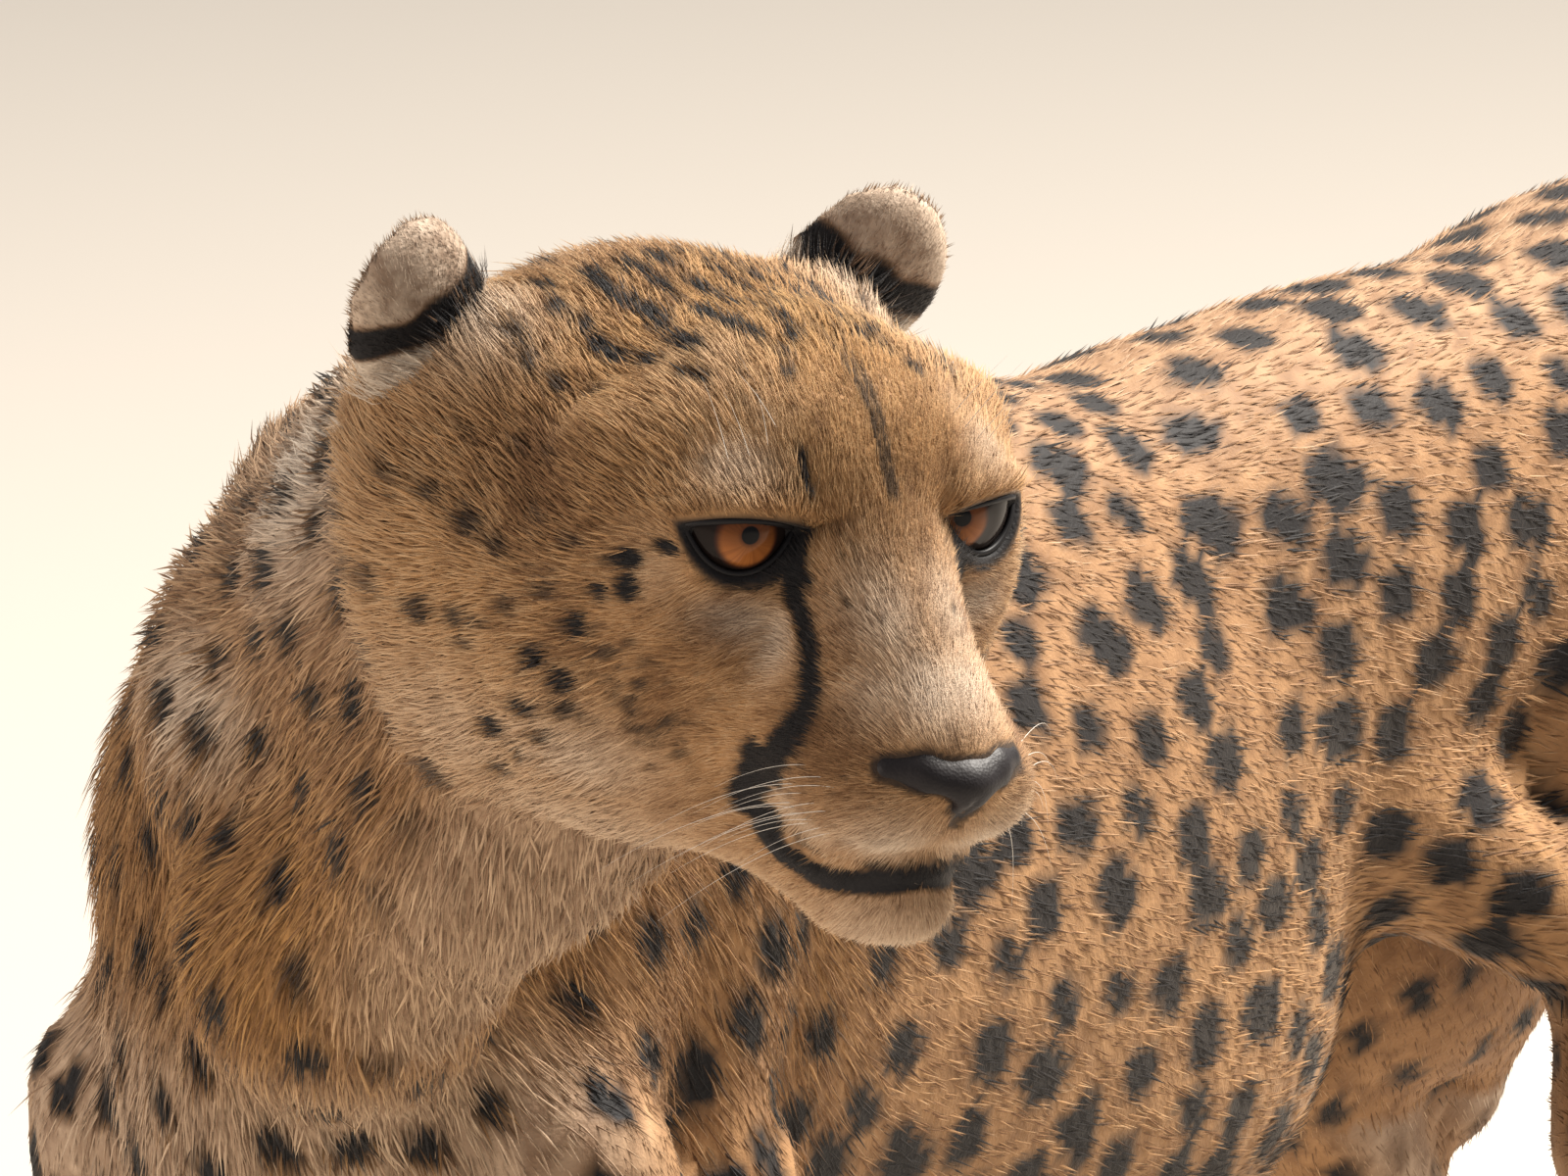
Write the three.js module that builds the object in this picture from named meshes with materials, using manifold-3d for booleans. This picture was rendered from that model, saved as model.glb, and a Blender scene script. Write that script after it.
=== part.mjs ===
// A cheetah at life size, standing on all four feet with its head turned to its left.
// Units are millimetres. +X runs from the rump to the shoulders, +Y to the animal's left,
// +Z up. Every length takes in the coat, so the solids reach to the tips of the fur.
//
// The flesh is one smooth field: each muscle mass is an egg or a tapered limb, and the masses
// melt into each other. Each part of the body is polygonised from that field in its own box,
// and thin plane cuts part it from its neighbours.
import * as THREE from 'three';
import Module from 'manifold-3d';
import { LoftGeometry } from 'three/addons/geometries/LoftGeometry.js';
import { mergeVertices } from 'three/addons/utils/BufferGeometryUtils.js';

const wasm = await Module();
wasm.setup();

// ---------------------------------------------------------------- driving dimensions
const GAP = 0.3;              // width of the cuts between parts
const WITHERS = 756;          // height over the shoulders
const SADDLE = 726;           // lowest point of the back
const CROUP = 744;            // height over the hips
const BRISKET = 458;          // lowest point of the chest
const WAIST = 556;            // belly height at the waist
const HIP_X = -570;           // hips, behind the withers
const RIB_HALF_WIDTH = 96;
const HEAD_AT = [223, 320, 733];    // tip of the nose
const HEAD_YAW = 69.2;              // degrees, turned to the left
const HEAD_PITCH = 18;              // degrees, nose down
const HEAD_ROLL = 1.8;              // degrees, left side low
const EYE_RADIUS = 17;
const EYE_LIDS = EYE_RADIUS + 2.6;  // outside of the lids
const EYE_AT = [-77, 29.5, 32];     // in the head's own frame, left eye
const SIDES = [['left', 1], ['right', -1]];
// Size of the faces on each part.
const CELL = {
  trunk: [50, 31, 32], neck: [24.5, 24.5, 24.5], head: [12.5, 12.5, 12.5],
  foreleg: [17, 14, 33], thigh: [32, 21, 35], hindLeg: [17, 14, 32], paw: [13.2, 10.3, 15],
};

// ---------------------------------------------------------------- frames
const vec = (x, y, z) => new THREE.Vector3(x, y, z);
const radians = THREE.MathUtils.degToRad;

// The head's frame: x forward to the nose, y to its left, z up, origin at the nose's tip.
const headFrame = new THREE.Matrix4()
  .makeTranslation(...HEAD_AT)
  .multiply(new THREE.Matrix4().makeRotationZ(radians(HEAD_YAW)))
  .multiply(new THREE.Matrix4().makeRotationY(radians(HEAD_PITCH)))
  .multiply(new THREE.Matrix4().makeRotationX(radians(-HEAD_ROLL)));
const toHead = headFrame.clone().invert();
const inHead = (x, y, z) => vec(x, y, z).applyMatrix4(headFrame);

// The spine bends a little to the left from the loin to the shoulders.
const BEND_FROM = -350;
const BEND = 0.00018;
const spineY = (x) => BEND * (Math.max(x, BEND_FROM) - BEND_FROM) ** 2 - BEND * BEND_FROM ** 2;

// ---------------------------------------------------------------- muscle masses
// Each mass is a distance function with the radius of the fillet where it meets the others.
function egg(centre, radii, fillet = 40, lean = 0) {
  const [cx, cy, cz] = centre;
  const [rx, ry, rz] = radii;
  const c = Math.cos(radians(lean));
  const s = Math.sin(radians(lean));
  const distance = (x, y, z) => {
    const dx = (x - cx) * c - (z - cz) * s;
    const dz = (x - cx) * s + (z - cz) * c;
    const dy = y - cy;
    const k0 = Math.hypot(dx / rx, dy / ry, dz / rz);
    const k1 = Math.hypot(dx / rx ** 2, dy / ry ** 2, dz / rz ** 2);
    return k1 < 1e-9 ? -Math.min(rx, ry, rz) : k0 * (k0 - 1) / k1;
  };
  return { distance, fillet };
}

function limb(from, to, r0, r1, fillet = 25) {
  const [ax, ay, az] = from;
  const b = [to[0] - ax, to[1] - ay, to[2] - az];
  const length2 = b[0] ** 2 + b[1] ** 2 + b[2] ** 2;
  const distance = (x, y, z) => {
    const p = [x - ax, y - ay, z - az];
    const t = Math.min(1, Math.max(0, (p[0] * b[0] + p[1] * b[1] + p[2] * b[2]) / length2));
    const gap = Math.hypot(p[0] - b[0] * t, p[1] - b[1] * t, p[2] - b[2] * t);
    return gap - (r0 + (r1 - r0) * t);
  };
  return { distance, fillet };
}

// A run of limbs through joints given as [x, y, z, radius].
const chain = (joints, fillet) => joints.slice(1).map((joint, i) => limb(
  joints[i].slice(0, 3), joint.slice(0, 3), joints[i][3], joint[3], fillet));

function melt(masses) {
  return (x, y, z) => {
    let near = Infinity;
    for (const { distance, fillet } of masses) {
      const d = distance(x, y, z);
      const overlap = Math.max(fillet - Math.abs(near - d), 0) / fillet;
      near = Math.min(near, d) - (near === Infinity ? 0 : overlap * overlap * fillet / 4);
    }
    return near;
  };
}

// ---------------------------------------------------------------- trunk
const trunkMasses = [
  egg([-178, 0, (SADDLE + BRISKET) / 2 + 6], [250, RIB_HALF_WIDTH - 12, 134], 16),
  egg([-250, 0, BRISKET + 77], [154, 67, 70], 24),                         // belly
  egg([-30, 0, 508], [115, 48, 46], 20),                                   // brisket
  egg([26, 0, 594], [98, 66, 112], 26),                                    // chest front
  ...chain([[-40, 0, 686, 50], [-330, 0, SADDLE - 54, 48], [HIP_X, 0, CROUP - 60, 54]], 20),
  egg([-405, 0, (SADDLE + WAIST) / 2 + 4], [165, 66, 82], 24),             // loin
  egg([HIP_X, 0, 662], [108, 74, 76], 24),
  egg([-12, 0, WITHERS - 46], [95, 40, 44], 20),                           // withers
];
for (const [, side] of SIDES) {
  trunkMasses.push(
    limb([-14, 34 * side, 708], [56, 58 * side, 576], 32, 34, 18),         // shoulder blade
    limb([-22, 54 * side, 650], [2, 70 * side, 500], 30, 28, 8),          // back of the shoulder
    egg([-612, 38 * side, 668], [58, 40, 66], 20),                         // buttock
    limb([-392, 34 * side, 590], [-450, 58 * side, 556], 30, 26, 20),      // fold of the flank
  );
}

// ---------------------------------------------------------------- legs
// Joints run from the body to the toes. Each leg stands at its own place in the stride.
const FORE = { stride: { left: -22, right: 26 }, track: 74 };
const HIND = { stride: { left: 36, right: -26 }, track: 72 };
const KNEE = 400;                       // height where the thigh is parted from the shank
const PAW_LENGTH = 92;
const PAW_HEIGHT = 46;
const ANKLE = 64;                       // height where the paw is parted from the leg
const TOES = [-22.7, -8.6, 8.6, 22.7];  // across the paw
const TOE_REACH = [-9, 0, 0, -9];       // the two middle toes lead
const TOE_AHEAD = PAW_LENGTH * 0.3;     // from the middle of the paw to the toes

function pawMasses(x, y) {
  const toes = TOES.map((across, i) => egg(
    [x + TOE_AHEAD + TOE_REACH[i], y + across, 14], [24, 10.5, 17], 8));
  return [
    egg([x, y, 22], [PAW_LENGTH * 0.4, 27, PAW_HEIGHT / 2], 18),
    egg([x - 14, y, 14], [25, 22, 18], 14),                                // heel pad
    ...toes,
  ];
}

const feet = {};
const legMasses = [];
for (const [name, side] of SIDES) {
  const fore = FORE.stride[name];
  const foot = { x: 62 + fore * 1.6, y: FORE.track * side };
  feet[`fore_${name}`] = foot;
  legMasses.push(
    ...chain([[54, 62 * side, 580, 35], [2 + fore * 0.7, 75 * side, 450, 34],
      [20 + fore * 1.2, 77 * side, 320, 28], [24 + fore * 1.5, 75 * side, 205, 21],
      [22 + fore * 1.6, 75 * side, 170, 22.5], [36 + fore * 1.6, 74 * side, 60, 19.5],
      [foot.x - 8, foot.y, 30, 21]], 12),
    limb([-12 + fore * 0.4, 66 * side, 560], [-16 + fore * 0.7, 74 * side, 452], 27, 22, 12),
    ...pawMasses(foot.x, foot.y),
  );
  const hind = HIND.stride[name];
  const rear = { x: -600 + hind * 1.9, y: HIND.track * side };
  feet[`hind_${name}`] = rear;
  legMasses.push(
    egg([-540 + hind * 0.2, 50 * side, 590], [84, 38, 118], 20, 12),       // thigh
    limb([-522, 58 * side, 620], [-484 + hind * 0.6, 82 * side, 494], 44, 32, 20),
    limb([-622, 48 * side, 655], [-572 + hind * 0.5, 72 * side, 470], 42, 25, 20),
    limb([-504 + hind * 0.6, 80 * side, 492], [-594 + hind, 76 * side, 345], 33, 24, 16),
    ...chain([[-576 + hind, 76 * side, 390, 22], [-664 + hind * 1.6, 74 * side, 262, 12]], 12),
    ...chain([[-594 + hind, 76 * side, 345, 23], [-656 + hind * 1.6, 74 * side, 254, 18],
      [-642 + hind * 1.8, 73 * side, 150, 16.5], [rear.x - 34, rear.y, 62, 18],
      [rear.x - 8, rear.y, 30, 20]], 10),
    ...pawMasses(rear.x, rear.y),
  );
}

// ---------------------------------------------------------------- tail
// The root melts into the rump; the rest is lofted along its own curve.
const TAIL = [
  [-640, 690, 33], [-690, 668, 28.5], [-738, 612, 25.5], [-772, 520, 23.5], [-800, 420, 22],
  [-834, 325, 22], [-888, 250, 23], [-955, 218, 23], [-1016, 232, 19], [-1046, 251, 12]];
const TAIL_SWAY = 42;                   // how far the tip lies to the left of the root
const TAIL_RINGS = 21;
const TAIL_SIDES = 9;
const tailRoot = chain([[-640, 0, 690, 33], [-700, 0, 660, 28]], 14);

// ---------------------------------------------------------------- neck
const nape = inHead(-182, 0, 8).toArray();
const jowl = inHead(-112, 0, -26).toArray();
const skullBase = inHead(-150, 0, 0).toArray();
const neckMasses = [
  ...chain([[-50, -2, 640, 84], [42, 12, 660, 74], [108, 62, 706, 62],
    [146, 120, 746, 56], [...skullBase, 50]], 20),
  ...chain([[-20, 0, 696, 42], [72, 30, 738, 38], [128, 92, 767, 35], [...nape, 36]], 18),
  ...chain([[72, 14, 604, 44], [138, 72, 652, 42], [172, 142, 700, 40], [...jowl, 34]], 20),
];

// ---------------------------------------------------------------- head
// All of these are in the head's own frame.
const headMasses = [
  egg([-132, 0, 3], [68, 62, 55], 12),                                     // braincase
  egg([-106, 0, 31], [36, 43, 31], 12),                                    // forehead
  limb([-86, 0, 32], [-20, 0, -5], 19, 13, 12),                            // bridge of the nose
  egg([-40, 0, -8], [36, 27, 20], 10),                                     // upper jaw
  egg([-64, 0, -10], [34, 33, 31], 12),
  egg([-25, 0, -40], [18, 14, 12], 8),                                     // chin
];
for (const [, side] of SIDES) {
  headMasses.push(
    egg([-27, 14 * side, -12], [21, 17, 14], 8),                           // whisker pad
    egg([-112, 35 * side, -8], [43, 31, 39], 14),                          // cheek
    egg([-88, 34 * side, 10], [26, 18, 16], 12),                           // cheekbone
    egg([-84, 30 * side, 46], [22, 17, 11], 8),                            // brow
    egg([EYE_AT[0], EYE_AT[1] * side, EYE_AT[2]], [EYE_LIDS, EYE_LIDS, EYE_LIDS], 8),
    egg([-92, 44 * side, 22], [24, 15, 18], 10),                           // outer corner of the eye
    egg([-158, 47 * side, 28], [24, 20, 22], 14),                          // root of the ear
    limb([-122, 27 * side, -28], [-34, 7 * side, -40], 27, 10, 12),        // lower jaw
  );
}

// ---------------------------------------------------------------- the whole field
const bodyField = melt([...trunkMasses, ...legMasses, ...tailRoot]);
const neckField = melt(neckMasses);
const headField = melt(headMasses);
const soften = (a, b, fillet) => {
  const overlap = Math.max(fillet - Math.abs(a - b), 0) / fillet;
  return Math.min(a, b) - overlap * overlap * fillet / 4;
};
const point = vec();
function flesh(x, y, z) {
  const body = bodyField(x, y - spineY(x), z);
  const neck = neckField(x, y, z);
  point.set(x, y, z).applyMatrix4(toHead);
  const head = headField(point.x, point.y, point.z);
  return soften(soften(body, neck, 36), head, 16);
}

// ---------------------------------------------------------------- from field to faces
// A net of quads: one corner in each cell that the surface crosses, drawn on to the surface.
function net(field, low, high, cell) {
  const count = low.map((v, a) => Math.ceil((high[a] - v) / cell[a]));
  const at = (i, a) => low[a] + i * cell[a];
  const stride = [1, count[0] + 1, (count[0] + 1) * (count[1] + 1)];
  const index = (i, j, k) => i + j * stride[1] + k * stride[2];
  const inside = (x, y, z) => Math.max(field(x, y, z),
    low[0] + cell[0] * 0.6 - x, x - high[0] + cell[0] * 0.6,
    low[1] + cell[1] * 0.6 - y, y - high[1] + cell[1] * 0.6,
    low[2] + cell[2] * 0.6 - z, z - high[2] + cell[2] * 0.6);
  const value = new Float64Array(stride[2] * (count[2] + 1));
  for (let k = 0; k <= count[2]; k++) {
    for (let j = 0; j <= count[1]; j++) {
      for (let i = 0; i <= count[0]; i++) {
        value[index(i, j, k)] = inside(at(i, 0), at(j, 1), at(k, 2));
      }
    }
  }
  fillCracks(value, count, index, Math.min(...cell) * 0.05);
  const corners = [];
  for (let c = 0; c < 8; c++) corners.push([c & 1, (c >> 1) & 1, (c >> 2) & 1]);
  const edges = [];
  for (let a = 0; a < 8; a++) {
    for (let b = a + 1; b < 8; b++) {
      const steps = corners[a].filter((v, n) => v !== corners[b][n]).length;
      if (steps === 1) edges.push([corners[a], corners[b]]);
    }
  }
  const place = new Map();
  const positions = [];
  for (let k = 0; k < count[2]; k++) {
    for (let j = 0; j < count[1]; j++) {
      for (let i = 0; i < count[0]; i++) {
        const mean = [0, 0, 0];
        let crossings = 0;
        for (const [a, b] of edges) {
          const va = value[index(i + a[0], j + a[1], k + a[2])];
          const vb = value[index(i + b[0], j + b[1], k + b[2])];
          if ((va < 0) === (vb < 0)) continue;
          const t = va / (va - vb);
          for (let n = 0; n < 3; n++) mean[n] += a[n] + (b[n] - a[n]) * t;
          crossings++;
        }
        if (!crossings) continue;
        const start = [i, j, k].map((v, n) => at(v + mean[n] / crossings, n));
        place.set(index(i, j, k), positions.length / 3);
        positions.push(...drawOn(inside, start, cell));
      }
    }
  }
  const faces = [];
  const quad = (a, b, c, d, forward) => {
    const q = (forward ? [a, b, c, d] : [d, c, b, a]).map((v) => place.get(v));
    const apart = (m, n) => Math.hypot(...[0, 1, 2].map(
      (s) => positions[3 * m + s] - positions[3 * n + s]));
    if (apart(q[0], q[2]) < apart(q[1], q[3])) faces.push(q[0], q[1], q[2], q[0], q[2], q[3]);
    else faces.push(q[1], q[2], q[3], q[1], q[3], q[0]);
  };
  for (let k = 0; k < count[2]; k++) {
    for (let j = 0; j < count[1]; j++) {
      for (let i = 0; i < count[0]; i++) {
        const here = value[index(i, j, k)] < 0;
        for (let axis = 0; axis < 3; axis++) {
          const next = [i, j, k];
          next[axis]++;
          if (here === value[index(...next)] < 0) continue;
          const u = (axis + 1) % 3;
          const v = (axis + 2) % 3;
          const cellAt = (du, dv) => {
            const c = [i, j, k];
            c[u] -= du;
            c[v] -= dv;
            return index(...c);
          };
          quad(cellAt(1, 1), cellAt(0, 1), cellAt(0, 0), cellAt(1, 0), here);
        }
      }
    }
  }
  return solidOf(positions, faces);
}

// Where flesh meets flesh only corner to corner across a cell's side, the crack is filled.
function fillCracks(value, count, index, depth) {
  let filled = true;
  while (filled) {
    filled = false;
    for (let k = 0; k < count[2]; k++) {
      for (let j = 0; j < count[1]; j++) {
        for (let i = 0; i < count[0]; i++) {
          for (let axis = 0; axis < 3; axis++) {
            const side = [[0, 0], [1, 0], [1, 1], [0, 1]].map(([u, v]) => {
              const corner = [i, j, k];
              corner[(axis + 1) % 3] += u;
              corner[(axis + 2) % 3] += v;
              return index(...corner);
            });
            const soft = side.map((n) => value[n] < 0);
            if (soft[0] !== soft[2] || soft[1] !== soft[3] || soft[0] === soft[1]) {
              continue;
            }
            const open = soft[0] ? [side[1], side[3]] : [side[0], side[2]];
            value[value[open[0]] < value[open[1]] ? open[0] : open[1]] = -depth;
            filled = true;
          }
        }
      }
    }
  }
}

function drawOn(field, start, cell) {
  const p = [...start];
  const step = 0.4;
  for (let round = 0; round < 4; round++) {
    const d = field(...p);
    const slope = [0, 1, 2].map((n) => {
      const q = [...p];
      q[n] += step;
      return (field(...q) - d) / step;
    });
    const steep = Math.max(0.2, slope[0] ** 2 + slope[1] ** 2 + slope[2] ** 2);
    for (let n = 0; n < 3; n++) {
      const reach = cell[n] * 0.45;
      p[n] = THREE.MathUtils.clamp(p[n] - d * slope[n] / steep, start[n] - reach, start[n] + reach);
    }
  }
  return p;
}

function solidOf(positions, faces) {
  return new wasm.Manifold(new wasm.Mesh({
    numProp: 3, vertProperties: new Float32Array(positions), triVerts: new Uint32Array(faces),
  }));
}

// A three.js shape as a solid, placed by a matrix.
function shaped(geometry, matrix = new THREE.Matrix4()) {
  const bare = new THREE.BufferGeometry();
  bare.setAttribute('position', geometry.attributes.position.clone());
  bare.setIndex(geometry.index);
  bare.applyMatrix4(matrix);
  const merged = mergeVertices(bare, 1e-3);
  const index = [];
  const source = merged.index.array;
  for (let i = 0; i < source.length; i += 3) {
    const [a, b, c] = [source[i], source[i + 1], source[i + 2]];
    if (a !== b && b !== c && c !== a) index.push(a, b, c);
  }
  return solidOf(merged.attributes.position.array, index);
}

// Keeps what lies behind a plane; the normal points at what is taken away.
const HUGE = 4000;
function trim(solid, at, normal) {
  const n = vec(...normal).normalize();
  const turn = new THREE.Matrix4().makeRotationFromQuaternion(
    new THREE.Quaternion().setFromUnitVectors(vec(0, 0, 1), n));
  const centre = vec(...at).addScaledVector(n, HUGE / 2 - GAP / 2);
  turn.setPosition(centre);
  return solid.subtract(shaped(new THREE.BoxGeometry(HUGE, HUGE, HUGE), turn));
}
const flip = (normal) => normal.map((v) => -v);

// Cuts a solid back from its neighbour, with the gap all round.
function clearOf(solid, neighbour) {
  let rest = solid.subtract(neighbour);
  for (const axis of [0, 1, 2]) {
    for (const way of [-GAP, GAP]) {
      const shift = [0, 0, 0];
      shift[axis] = way;
      rest = rest.subtract(neighbour.translate(shift));
    }
  }
  return rest;
}

function block(low, high, grow) {
  const size = low.map((v, a) => high[a] - v + 2 * grow);
  const centre = low.map((v, a) => (high[a] + v) / 2);
  return shaped(new THREE.BoxGeometry(...size), new THREE.Matrix4().makeTranslation(...centre));
}

// ---------------------------------------------------------------- cuts
const headDirection = (x, y, z) => vec(x, y, z).transformDirection(headFrame).toArray();
const CUT = {
  head: { at: inHead(-158, 0, 0).toArray(), normal: headDirection(-0.86, 0, -0.5) },
  neck: { at: [62, 16, 665], normal: [-0.86, -0.12, -0.5] },
  tail: { at: [-690, 0, 670], normal: [1, 0, 0] },
  tailMiddle: { at: [-806, spineY(-806), 400], normal: [0.3, 0, 0.95] },
  knee: { at: [0, 0, KNEE], normal: [0, 0, 1] },
  paw: { at: [0, 0, ANKLE], normal: [0, 0, 1] },
  floor: { at: [0, 0, -GAP / 2], normal: [0, 0, -1] },
};
const FORE_BLOCK = { low: [-150, -200, -60], high: [300, 200, BRISKET - 12] };
const HIND_BLOCK = { low: [-900, -200, -60], high: [-395, 200, WAIST + 34] };
const middleY = spineY(HIP_X);           // where the hind legs are parted

// ---------------------------------------------------------------- colours
const paint = (color, roughness = 0.85) => new THREE.MeshStandardMaterial({
  color, roughness, metalness: 0, flatShading: true });
const COAT = { head: '#c58f4e', neck: '#cda472', trunk: '#c99a63', leg: '#cfa673', tail: '#c39a66',
  ear: '#a18f79' };
const HORN = '#2a2420';
const cheetah = new THREE.Group();
function keep(name, solid, material) {
  const mesh = solid.getMesh();
  const geometry = new THREE.BufferGeometry();
  geometry.setAttribute('position', new THREE.Float32BufferAttribute(mesh.vertProperties, 3));
  geometry.setIndex(new THREE.BufferAttribute(mesh.triVerts, 1));
  geometry.computeVertexNormals();
  const part = new THREE.Mesh(geometry, material);
  part.name = name;
  cheetah.add(part);
}

// ---------------------------------------------------------------- trunk, neck and tail
let trunk = net(flesh, [-740, -170, 380], [180, 190, 800], CELL.trunk);
trunk = trim(trunk, CUT.neck.at, flip(CUT.neck.normal));
trunk = trim(trunk, CUT.tail.at, flip(CUT.tail.normal));
trunk = trunk.subtract(block(FORE_BLOCK.low, FORE_BLOCK.high, GAP / 2));
trunk = trunk.subtract(block(HIND_BLOCK.low, HIND_BLOCK.high, GAP / 2));
keep('trunk', trunk, paint(COAT.trunk));

let neck = net(flesh, [-60, -130, 480], [290, 260, 900], CELL.neck);
neck = trim(neck, CUT.neck.at, CUT.neck.normal);
neck = trim(neck, CUT.head.at, flip(CUT.head.normal));
keep('neck', neck, paint(COAT.neck));

const tailLine = new THREE.CatmullRomCurve3(TAIL.map(([x, z], i) => vec(
  x, spineY(x) + TAIL_SWAY * (i / (TAIL.length - 1)) ** 2, z)), false, 'centripetal');
const tailSections = [];
for (let ring = 0; ring <= TAIL_RINGS; ring++) {
  const t = ring / TAIL_RINGS;
  const centre = tailLine.getPoint(t);
  const along = tailLine.getTangent(t);
  const across = vec(0, 1, 0).cross(along).normalize();
  const other = along.clone().cross(across);
  const place = t * (TAIL.length - 1);
  const before = Math.min(Math.floor(place), TAIL.length - 2);
  const radius = THREE.MathUtils.lerp(TAIL[before][2], TAIL[before + 1][2], place - before);
  tailSections.push(Array.from({ length: TAIL_SIDES }, (_, side) => {
    const turn = (2 * Math.PI * side) / TAIL_SIDES;
    return centre.clone().addScaledVector(across, radius * Math.cos(turn))
      .addScaledVector(other, radius * Math.sin(turn));
  }));
}
const tail = shaped(new LoftGeometry(tailSections, { closed: true, capStart: true, capEnd: true }));
let tailBase = trim(tail, CUT.tail.at, CUT.tail.normal);
tailBase = trim(tailBase, CUT.tailMiddle.at, flip(CUT.tailMiddle.normal));
keep('tail_base', tailBase, paint(COAT.tail));
keep('tail_tip', trim(tail, CUT.tailMiddle.at, CUT.tailMiddle.normal), paint(COAT.tail));

// ---------------------------------------------------------------- legs and paws
const CLAW = { radius: 3.4, length: 15, sides: 6, ahead: 25, height: 13, droop: 12 };
const DEWCLAW = { behind: 26, inward: 21, height: 92, tilt: 118 };
const clawShape = new THREE.ConeGeometry(CLAW.radius, CLAW.length, CLAW.sides);

function addPaw(name, foot, leg) {
  const y = foot.y + spineY(foot.x);
  const low = [foot.x - 62, y - 42, -16];
  const high = [foot.x + 62, y + 42, ANKLE + 26];
  let paw = net(flesh, low, high, CELL.paw);
  paw = trim(trim(paw, CUT.paw.at, CUT.paw.normal), CUT.floor.at, CUT.floor.normal);
  keep(`${name}paw_${leg}`, paw, paint(COAT.leg));
  TOES.forEach((across, i) => {
    const upright = new THREE.Matrix4().makeRotationX(radians(90));
    const forward = new THREE.Matrix4().makeRotationZ(-radians(90 + CLAW.droop));
    const spot = new THREE.Matrix4().makeTranslation(
      foot.x + TOE_AHEAD + TOE_REACH[i] + CLAW.ahead, y + across, CLAW.height);
    const claw = shaped(clawShape, spot.multiply(upright).multiply(forward));
    keep(`${name}claw_${leg}_${i + 1}`, clearOf(claw, paw), paint(HORN, 0.4));
  });
}

for (const [name, side] of SIDES) {
  const innerY = side > 0 ? 0 : -170;
  let fore = net(flesh, [-90, innerY, 20], [190, innerY + 170, 490], CELL.foreleg);
  fore = fore.intersect(block(FORE_BLOCK.low, FORE_BLOCK.high, -GAP / 2));
  fore = trim(fore, CUT.paw.at, flip(CUT.paw.normal));
  keep(`foreleg_${name}`, fore, paint(COAT.leg));
  const foot = feet[`fore_${name}`];
  addPaw('fore', foot, name);
  const dewclawSpot = new THREE.Matrix4()
    .makeTranslation(foot.x - DEWCLAW.behind,
      foot.y + spineY(foot.x) - DEWCLAW.inward * side, DEWCLAW.height)
    .multiply(new THREE.Matrix4().makeRotationY(radians(DEWCLAW.tilt)));
  keep(`dewclaw_${name}`, clearOf(shaped(clawShape, dewclawSpot), fore), paint(HORN, 0.4));

  const lowY = side > 0 ? middleY - 20 : middleY - 160;
  let thigh = net(flesh, [-740, lowY, KNEE - 40], [-360, lowY + 180, 640], CELL.thigh);
  thigh = thigh.intersect(block(HIND_BLOCK.low, HIND_BLOCK.high, -GAP / 2));
  thigh = trim(thigh, CUT.knee.at, flip(CUT.knee.normal));
  keep(`thigh_${name}`, trim(thigh, [0, middleY, 0], [0, -side, 0]), paint(COAT.leg));
  let hind = net(flesh, [-760, lowY, 20], [-440, lowY + 180, KNEE + 40], CELL.hindLeg);
  hind = trim(trim(hind, CUT.paw.at, flip(CUT.paw.normal)), CUT.knee.at, CUT.knee.normal);
  keep(`hind_leg_${name}`, hind, paint(COAT.leg));
  addPaw('hind', feet[`hind_${name}`], name);
}

// ---------------------------------------------------------------- head, with eyes, nose and mouth
const headFlesh = (x, y, z) => {
  const p = vec(x, y, z).applyMatrix4(headFrame);
  return flesh(p.x, p.y, p.z);
};
const oval = (centre, radii, grow = 0, across = 11, down = 7) => shaped(
  new THREE.SphereGeometry(1, across, down),
  headFrame.clone().multiply(new THREE.Matrix4().makeTranslation(...centre))
    .multiply(new THREE.Matrix4().makeScale(...radii.map((r) => r + grow))));

let head = net(headFlesh, [-232, -90, -96], [12, 90, 88], CELL.head)
  .transform(headFrame.toArray());
head = trim(head, CUT.head.at, CUT.head.normal);
const NOSE = { centre: [-12, 0, -4.5], radii: [11, 18.5, 9.5] };
head = head.subtract(oval(NOSE.centre, NOSE.radii, GAP));
keep('nose', oval(NOSE.centre, NOSE.radii), paint(HORN, 0.45));
const MOUTH = { centre: [-22, 0, -30.5], radii: [38, 40, 3] };
head = head.subtract(oval(MOUTH.centre, MOUTH.radii, 0, 20, 8));
// The lids open in an almond whose inner corner is low, towards the nose.
const LID = { depth: 12, length: 14.5, height: 8.6, outward: 14, slope: 24 };
const lidOpening = (side) => headFrame.clone()
  .multiply(new THREE.Matrix4().makeTranslation(EYE_AT[0], EYE_AT[1] * side, EYE_AT[2]))
  .multiply(new THREE.Matrix4().makeRotationZ(radians(LID.outward * side)))
  .multiply(new THREE.Matrix4().makeRotationX(radians(LID.slope * side)))
  .multiply(new THREE.Matrix4().makeTranslation(EYE_RADIUS, 0, 0))
  .multiply(new THREE.Matrix4().makeScale(LID.depth, LID.length, LID.height));
for (const [name, side] of SIDES) {
  const centre = [EYE_AT[0], EYE_AT[1] * side, EYE_AT[2]];
  const radii = [EYE_RADIUS, EYE_RADIUS, EYE_RADIUS];
  head = head.subtract(oval(centre, radii, GAP));
  head = head.subtract(shaped(new THREE.SphereGeometry(1, 12, 8), lidOpening(side)));
  keep(`eye_${name}`, oval(centre, radii), paint('#b5752a', 0.1));
}
keep('head', head, paint(COAT.head));

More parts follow.
